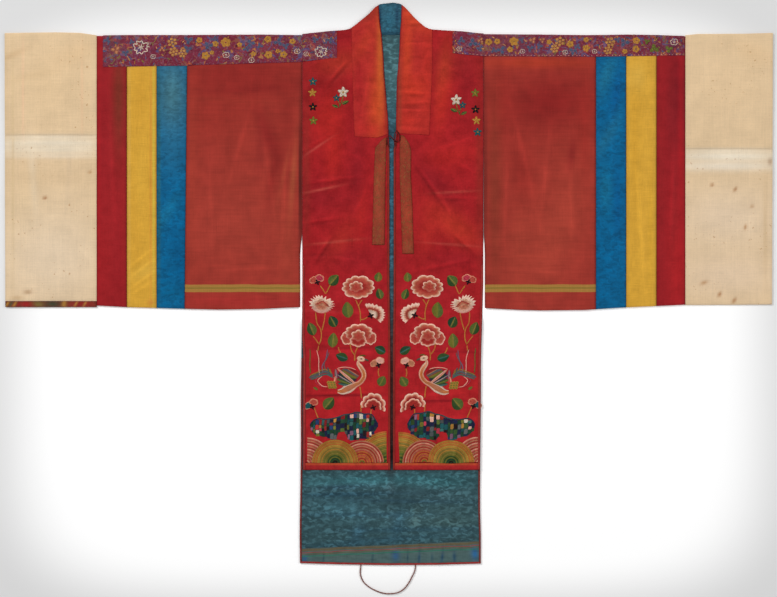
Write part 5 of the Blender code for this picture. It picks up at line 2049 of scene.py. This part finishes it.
def rock(work, seed):
    """A dark ground, small blocks in many threads on it, and a line along its top."""
    top, foot = column(ROCK_TOP, "y"), column(ROCK_FOOT, "y")
    columns = np.linspace(ROCK_TOP[0].x, ROCK_TOP[-1].x, ROCK_COLUMNS)[:, None]
    share = np.linspace(0, 1, ROCK_ROWS)[None, :]
    high = top(columns) + 1.0 * np.sin(columns / 3.1)
    low = foot(columns) - 1.0 * np.sin(columns / 2.7)
    y = low + (high - low) * share
    rim = (share <= 0) | (share >= 1) | (columns <= columns[0]) | (columns >= columns[-1])
    raised = np.where(rim, TUCK, 0.35)
    work.grid(columns + 0.0 * share, y, raised, light(ROCK_GROUND), y)
    chance = np.random.default_rng(seed)
    local = np.linspace(-1, 1, 5)
    left = ROCK_TOP[0].x + 2.5
    while left < ROCK_TOP[-1].x - 6:
        wide = BLOCK.wide * chance.uniform(0.6, 1.25)
        middle_x = left + 0.5 * wide
        left += wide + BLOCK.gap
        high = top(middle_x) - 1.6
        while high > foot(middle_x) + 5:
            tall = min(BLOCK.tall * chance.uniform(0.6, 1.3), high - foot(middle_x) - 1.4)
            middle_y = high - 0.5 * tall
            high -= tall + BLOCK.gap
            x = middle_x + 0.5 * wide * local[:, None] + 0.0 * local
            y = middle_y + 0.5 * tall * local + 0.0 * local[:, None]
            x = x + 0.8 * np.sin(y / 7.0)
            rim = np.maximum(np.abs(local)[:, None], np.abs(local)[None, :])
            raised = np.where(rim >= 1, 0.3, 0.8 - 0.1 * rim)
            thread = BLOCK_THREADS[int(chance.integers(len(BLOCK_THREADS)))]
            work.grid(x, y, raised, light(THREADS[thread]) * chance.uniform(0.7, 1.2), y)
    work.ribbon(ROCK_TOP, 2.8, ((0, "navy"), (0.4, "teal"), (1, "navy")), base=0.5, taper=0.04)


Wave = namedtuple("Wave", "x y radius start sweep base rings")
GOLD_RINGS = ("gold", "orange", "gold", "orange", "yellow", "gold", "moss", "gold", "moss", "olive", "moss",
              "olive", "forest", "olive", "pine", "forest", "ink", "pine")
CORAL_RINGS = ("sand", "ember", "blush", "coral", "sand", "ember", "sand", "coral", "orange", "ember",
               "orange", "coral", "orange", "ember", "orange", "olive", "ember")
PEACH_RINGS = ("blush", "coral", "sand", "ember", "blush", "coral", "sand", "ember", "blush", "coral", "sand",
               "coral", "blush", "coral", "sand", "coral", "blush", "coral")
OLIVE_RINGS = ("orange", "gold", "orange", "gold", "yellow", "gold", "moss", "gold", "moss", "olive", "moss",
               "olive", "leaf", "olive", "forest", "olive", "forest", "olive")
FIELD_FOOT = FRONT_HEM + HEM_BAND_HEIGHT + 0.4
WAVES = table(Wave, (
    (-184, FIELD_FOOT, 57, 0, 90, 0.0, PEACH_RINGS),
    (-5, FIELD_FOOT, 71, 90, 90, 0.0, OLIVE_RINGS),
    (-61, FIELD_FOOT, 50, 0, 180, 0.5, CORAL_RINGS),
    (-121, FIELD_FOOT, 52, 0, 180, 1.0, GOLD_RINGS),
))


def wave(work, row):
    """A half or a quarter wheel of sewn rings, with a groove between each two."""
    count = len(row.rings)
    each = 4
    share = (np.arange(count * each + 1) / (count * each))[:, None]
    angle = np.radians(row.start + row.sweep * np.arange(WAVE_SPOKES + 1) / WAVE_SPOKES)[None, :]
    x = row.x + row.radius * share * np.cos(angle)
    y = row.y + row.radius * share * np.sin(angle)
    ring = np.clip((share * count).astype(int), 0, count - 1)
    groove = np.abs(np.sin(math.pi * share * count))
    tones = np.array([light(THREADS[thread]) for thread in reversed(row.rings)])
    # Painted shade: each groove between two rings is painted darker.
    tint = np.broadcast_to(tones[ring] * (0.62 + 0.38 * groove)[..., None], (*x.shape, 3))
    rim = (share >= 1) | (angle <= angle[0, 0]) | (angle >= angle[0, -1])
    raised = np.where(rim, row.base + TUCK, row.base + 0.3 + 0.3 * groove)
    work.grid(x, y, raised, tint, row.radius * share * count + 0.0 * angle)


# The four small blossoms beside each armhole, from the top down, and the small bunch on each side.
# The right side's places are also given as if on the left, and are mirrored as they are sewn.
Small = namedtuple("Small", "x y thread")
SMALL_BLOSSOMS = {
    "left": table(Small, (
        (-171, 456, "teal"),
        (-172, 431, "gold"),
        (-171, 399, "ink"),
        (-170, 368, "olive"),
    )),
    "right": table(Small, (
        (-177, 429, "olive"),
        (-179, 392, "ink"),
        (-180, 367, "gold"),
        (-181, 341, "teal"),
    )),
}
BLOSSOM_SIZE = 9.5
SPRIG_PLACES = {"left": (-108, 420), "right": (-140, 404)}


def blossom(work, x, y, size, petal, tip, base=0.0):
    """Five round petals round a gold dot."""
    for turn in range(18, 378, 72):
        spin = math.radians(turn)
        place = (x + 0.56 * size * math.cos(spin), y + 0.56 * size * math.sin(spin))
        work.leaf(place, size, 0.6 * size, turn, (petal, petal, tip), base=base, blunt=0.6)
    work.disc((x, y), (0.22 * size, 0.22 * size), 0, round_edge, ((0, "gold"), (1, "marigold")),
              base=base + 0.4, spokes=14, rings=3)


def sprig(work, x, y):
    """A small cut stem with a white blossom, a blue one beside it, and two leaves."""
    work.ribbon(((x + 5, y + 8), (x + 2, y - 8), (x - 5, y - 24)), 2.4, ((0, "moss"), (1, "forest")))
    work.ribbon(((x - 9, y - 4), (x - 3, y - 14), (x - 4, y - 20)), 2.0, ((0, "moss"), (1, "forest")))
    work.leaf((x + 10, y - 11), 17, 8, 24, ("forest", "leaf", "moss"), base=0.2)
    work.leaf((x - 13, y - 19), 15, 7, 160, ("forest", "leaf", "moss"), base=0.2)
    blossom(work, x + 5, y + 12, 12, "white", "pink", 0.5)
    blossom(work, x - 10, y - 1, 8, "teal", "blue", 0.4)


def embroider(side):
    """All that is sewn on one front."""
    work = Needlework(FRONT_TOP_FACE, front_lift, mirrored=side == "right")
    for row in WAVES:
        wave(work, row)
    rock(work, seed=11 if side == "left" else 12)
    for stem in STEMS:
        work.ribbon(stem, STEM_WIDTH, STEM_THREADS)
    for row in LEAVES:
        work.leaf((row.x, row.y), row.length, row.width, row.turn, row.tones, base=0.1)
    whole_peony(work, -69, -6)
    layered_peony(work, -68, -114)
    lotus(work, -152, -46)
    half_flower(work, -40, -69)
    fan_flower(work, -36, -275)
    bud(work, -161, 5, ("coral", "rose"), 0)
    bud(work, -24, -181, ("sand", "pink"), 8)
    bud(work, -172, -275, ("teal", "coral"), 14)
    bird(work)
    for small in SMALL_BLOSSOMS[side]:
        blossom(work, small.x, small.y, BLOSSOM_SIZE, small.thread, small.thread)
    sprig(work, *SPRIG_PLACES[side])
    work.finish("embroidery_" + side, "red_silk")


embroider("left")
embroider("right")


# The brocade's own flowers on the shoulder bands.
Bloom = namedtuple("Bloom", "kind x y size")
LEFT_BLOOMS = table(Bloom, (
    ("cells", -487, 544, 9), ("cells", -484, 523, 9), ("cells", -464, 519, 8),
    ("gold", -412, 514, 9), ("gold", -426, 549, 7), ("gold", -367, 544, 11),
    ("gold", -390, 541, 7), ("gold", -336, 539, 6), ("gold", -305, 518, 6),
    ("gold", -272, 551, 8), ("gold", -271, 516, 9), ("gold", -237, 517, 8),
    ("gold", -217, 546, 7), ("gold", -250, 524, 5), ("gold", -398, 521, 5),
    ("blue", -451, 549, 11), ("blue", -452, 529, 10), ("blue", -406, 537, 11),
    ("blue", -392, 552, 8), ("blue", -311, 542, 11), ("blue", -321, 529, 8),
    ("blue", -249, 545, 11), ("blue", -232, 536, 9), ("blue", -592, 520, 9),
    ("blue", -633, 549, 9), ("blue", -166, 550, 8), ("blue", -133, 549, 9),
    ("blue", -578, 545, 7), ("blue", -290, 536, 8), ("wheat", -614, 527, 12),
    ("wheat", -510, 528, 8), ("white", -557, 533, 19), ("white", -153, 523, 15),
    ("pale", -366, 516, 8), ("pale", -342, 510, 6), ("pale", -309, 504, 7),
    ("pale", -206, 524, 7), ("pale", -186, 518, 6), ("pale", -530, 512, 6),
))
RIGHT_BLOOMS = table(Bloom, (
    ("gold", 224, 545, 8), ("gold", 243, 546, 7), ("gold", 281, 546, 10),
    ("gold", 272, 528, 7), ("cells", 384, 546, 9), ("cells", 372, 530, 8),
    ("gold", 407, 540, 8), ("gold", 443, 550, 6), ("gold", 443, 531, 8),
    ("cells", 497, 545, 9), ("cells", 492, 526, 8), ("gold", 556, 548, 8),
    ("gold", 555, 529, 8), ("gold", 530, 524, 6), ("gold", 360, 545, 6),
    ("blue", 188, 543, 12), ("blue", 163, 549, 9), ("blue", 252, 527, 11),
    ("blue", 236, 526, 8), ("blue", 317, 531, 9), ("blue", 338, 535, 8),
    ("blue", 413, 524, 10), ("blue", 424, 534, 8), ("blue", 529, 544, 12),
    ("blue", 514, 550, 8), ("blue", 204, 530, 8), ("blue", 298, 550, 7),
    ("wheat", 323, 549, 9), ("wheat", 206, 548, 8), ("wheat", 344, 549, 8),
    ("green", 596, 530, 11), ("green", 629, 529, 9), ("pale", 641, 545, 9),
    ("pale", 158, 529, 6), ("pale", 396, 522, 6), ("pale", 300, 524, 6),
    ("pale", 462, 524, 6), ("green", 580, 546, 7),
))
LEAF_THREADS = {
    "blue": ("haze", "steel", "lilac"),
    "green": ("moss", "leaf", "olive"),
    "wheat": ("wheat", "sand", "claret"),
}


def band_lift(x, y):
    """The folds under a shoulder band, on a front or on a sleeve."""
    on_front = (x > BACK_OUTLINE[0].left) & (x < BACK_OUTLINE[0].right)
    return np.where(on_front, front_lift(x, y), sleeve_lift(x, y))


def bloom(work, kind, x, y, size):
    """One woven flower: round petals, small cells, loose leaves, or an outline in pale thread."""
    if kind == "gold":
        rings = ((0, "orange"), (0.3, "marigold"), (0.8, "marigold"), (1, "claret"))
        for turn in range(5):
            spin = math.radians(72 * turn + 7 * x)
            place = (x + 0.62 * size * math.cos(spin), y + 0.56 * size * math.sin(spin))
            work.disc(place, (size * 0.58, size * 0.5), turn * 72, lobed(4, 0.16), rings, spokes=16, rings=4)
    elif kind == "cells":
        rings = ((0, "claret"), (0.25, "wheat"), (0.8, "marigold"), (1, "claret"))
        for turn in range(7):
            spin = math.radians(60 * turn + 11 * x)
            reach = 0.0 if turn == 6 else 0.86 * size
            place = (x + reach * math.cos(spin), y + reach * math.sin(spin))
            work.disc(place, (size * 0.46, size * 0.42), 0, lobed(6, 0.08), rings, spokes=12, rings=4)
    elif kind in LEAF_THREADS:
        middle, body, tip = LEAF_THREADS[kind]
        for turn in range(3):
            spin = math.radians(117 * turn + 5 * x)
            place = (x + 0.52 * size * math.cos(spin), y + 0.44 * size * math.sin(spin))
            work.disc(place, (size * 0.6, size * 0.44), math.degrees(spin), lobed(5, 0.24, 0.1 * x),
                      ((0, middle), (0.5, body), (0.86, tip), (1, body)), base=0.1 * turn, spokes=30, rings=5)
    else:
        edge = shaggy(9, 0.5) if size > 12 else lobed(6, 0.3, 0.5, 0.1)
        angle = np.radians(np.arange(0, 361, 6))
        reach = edge(angle) * size
        route = np.column_stack((x + reach * np.cos(angle), y + 0.82 * reach * np.sin(angle)))
        work.ribbon(route[:-1], size * 0.1 + 0.6, ((0, "white"), (1, "shell")), base=0.1, taper=0.02)
        for turn in (20, 80, 140):
            work.leaf((x, y), size * 0.9, size * 0.14, turn, ("shell", "white", "claret"), base=0.2,
                      blunt=0.5)


def running_stitches(work, start, end, gap, length, width, thread):
    """A row of short stitches between two places."""
    start, end = np.array(start, float), np.array(end, float)
    reach = float(np.linalg.norm(end - start))
    heading = (end - start) / reach
    for number in range(int(reach / gap)):
        first = start + heading * gap * (number + 0.3 + 0.12 * math.sin(3.7 * number))
        work.ribbon((first, first + heading * length), width, ((0, thread), (1, thread)), step=length / 2)


FILLER_THREADS = ("haze", "lilac", "steel", "claret", "wheat", "marigold", "lilac", "haze", "moss", "claret")
FILLER_STEP = 3.6
BLOOM_TOP = 556.0


def filler(work, band, seed):
    """Small loose leaves all over one length of a band."""
    chance = np.random.default_rng(seed)
    for _ in range(int(abs(band.outer - band.inner) / FILLER_STEP)):
        share = chance.uniform(0.02, 0.98)
        x = blend(band.inner, band.outer, share)
        y = chance.uniform(max(band.low_inner, band.low_outer) + 4, BLOOM_TOP)
        thread = FILLER_THREADS[int(chance.integers(len(FILLER_THREADS)))]
        work.leaf((x, y), chance.uniform(5, 10), chance.uniform(1.6, 3.2), chance.uniform(0, 180),
                  (thread,) * 3, base=-0.1, blunt=0.6)


STITCH_INSET = 2.2


def weave_flowers(side, blooms, bands, thread):
    """All that is woven into one side's shoulder bands, with a row of stitches along their lower edge."""
    work = Needlework(OVERLAY_TOP_FACE, band_lift)
    for number, band in enumerate(bands):
        filler(work, band, seed=number + len(blooms))
    for row in blooms:
        bloom(work, *row)
    for band in bands:
        foot = ((band.inner, band.low_inner + STITCH_INSET), (band.outer, band.low_outer + STITCH_INSET))
        running_stitches(work, *foot, gap=8.5, length=3.4, width=1.3, thread=thread)
    work.finish("brocade_flowers_" + side, "brocade")


weave_flowers("left", LEFT_BLOOMS, LEFT_BANDS, "lilac")
weave_flowers("right", RIGHT_BLOOMS, RIGHT_BANDS, "pink")


# The stage: a pale floor, greyed softly far from the middle by painted shade and given a painted glow of its
# own, soft lights, and the camera above.
CAMERA_PLACE = (-0.0011, -0.0315, 4.128)
CAMERA_LENS = 85.0
SENSOR_WIDTH = 36.0
FLOOR_SIZE = 14.0
FLOOR_LEVEL = -0.0004
FLOOR_MIDDLE = (-0.001, -0.05)
FLOOR_REACH = (0.874, 0.672)
FLOOR_CORNER = 6.0
# Where the floor's painted shade begins, and where it reaches full grey.
FLOOR_WHITE_TO = 0.84
FLOOR_GREY_FROM = 1.08
FLOOR_WHITE = (255, 255, 255)
FLOOR_GREY = (213, 213, 213)
# The floor's painted glow, and the stronger painted light in the gaps beside the body that lifts the shadow
# there.
FLOOR_GLOW = 0.13
SLIT_MIDDLES = (-197.5, 214.3)
SLIT_GLOW = 0.6
SLIT_GLOW_HALF = 6
SLIT_GLOW_MIDDLE = 10
SLIT_GLOW_REACH = 110
WORLD_STRENGTH = 0.34

Lamp = namedtuple("Lamp", "name place size power")
LAMPS = table(Lamp, (
    ("key_light", (-4.6, 4.3, 5.0), 1.5, 360.0),
    ("fill_light", (4.2, 1.0, 4.2), 3.0, 92.0),
    ("low_fill_light", (0.5, -4.2, 3.4), 3.0, 26.0),
))


def make_floor():
    """A white floor with painted shade that turns it grey far out, and a painted glow of its own, stronger in
    the gaps beside the body where it lifts the shadow.
    """
    deselect_all()
    bpy.ops.mesh.primitive_plane_add(size=FLOOR_SIZE, location=(0.0, 0.0, FLOOR_LEVEL))
    bpy.ops.object.transform_apply(location=True, rotation=True, scale=True)
    floor = bpy.context.object
    floor.name = "floor"
    paper = Weaver("floor_paper")
    parts = []
    for place, middle, reach in zip((paper.x, paper.y), FLOOR_MIDDLE, FLOOR_REACH):
        away = paper.maths("ABSOLUTE", paper.maths("SUBTRACT", place, middle))
        parts.append(paper.maths("POWER", paper.maths("DIVIDE", away, reach), FLOOR_CORNER))
    out = paper.maths("POWER", paper.plus(*parts), 1 / FLOOR_CORNER)
    colour = paper.mix(paper.remap(out, FLOOR_WHITE_TO, FLOOR_GREY_FROM), rgb(FLOOR_WHITE), rgb(FLOOR_GREY))
    paper.put(paper.shader.inputs["Base Color"], colour)
    # The floor glows in its own colour, as painted light.
    paper.put(paper.shader.inputs["Emission Color"], colour)
    glow = FLOOR_GLOW
    # Stronger painted light in the gaps beside the body, lifting the shadow there.
    for gap_x in SLIT_MIDDLES:
        near = paper.product(paper.contour(paper.x, gap_x * MM, SLIT_GLOW_HALF * MM),
                             paper.contour(paper.y, SLIT_GLOW_MIDDLE * MM, SLIT_GLOW_REACH * MM))
        glow = paper.maths("MULTIPLY_ADD", paper.remap(near, 0.0, 0.2), SLIT_GLOW, glow)
    paper.put(paper.shader.inputs["Emission Strength"], glow)
    paper.shader.inputs["Roughness"].default_value = 1.0
    paper.shader.inputs["Specular IOR Level"].default_value = 0.0
    floor.data.materials.append(paper.material)


def make_lamps():
    for lamp in LAMPS:
        deselect_all()
        bpy.ops.object.light_add(type="AREA", location=lamp.place)
        light_object = bpy.context.object
        light_object.name = lamp.name
        light_object.data.shape = "DISK"
        light_object.data.size = lamp.size
        light_object.data.energy = lamp.power
        heading = -light_object.location
        light_object.rotation_euler = heading.to_track_quat("-Z", "Y").to_euler()
    world = bpy.data.worlds.new("studio")
    world.use_nodes = True
    world.node_tree.nodes["Background"].inputs["Color"].default_value = (1.0, 1.0, 1.0, 1.0)
    world.node_tree.nodes["Background"].inputs["Strength"].default_value = WORLD_STRENGTH
    bpy.context.scene.world = world


def make_camera():
    deselect_all()
    bpy.ops.object.camera_add(location=CAMERA_PLACE, rotation=(0.0, 0.0, 0.0))
    camera = bpy.context.object
    camera.name = "camera"
    camera.data.lens = CAMERA_LENS
    camera.data.sensor_width = SENSOR_WIDTH
    bpy.context.scene.camera = camera


make_floor()
make_lamps()
make_camera()
bpy.context.scene.view_settings.view_transform = "Standard"
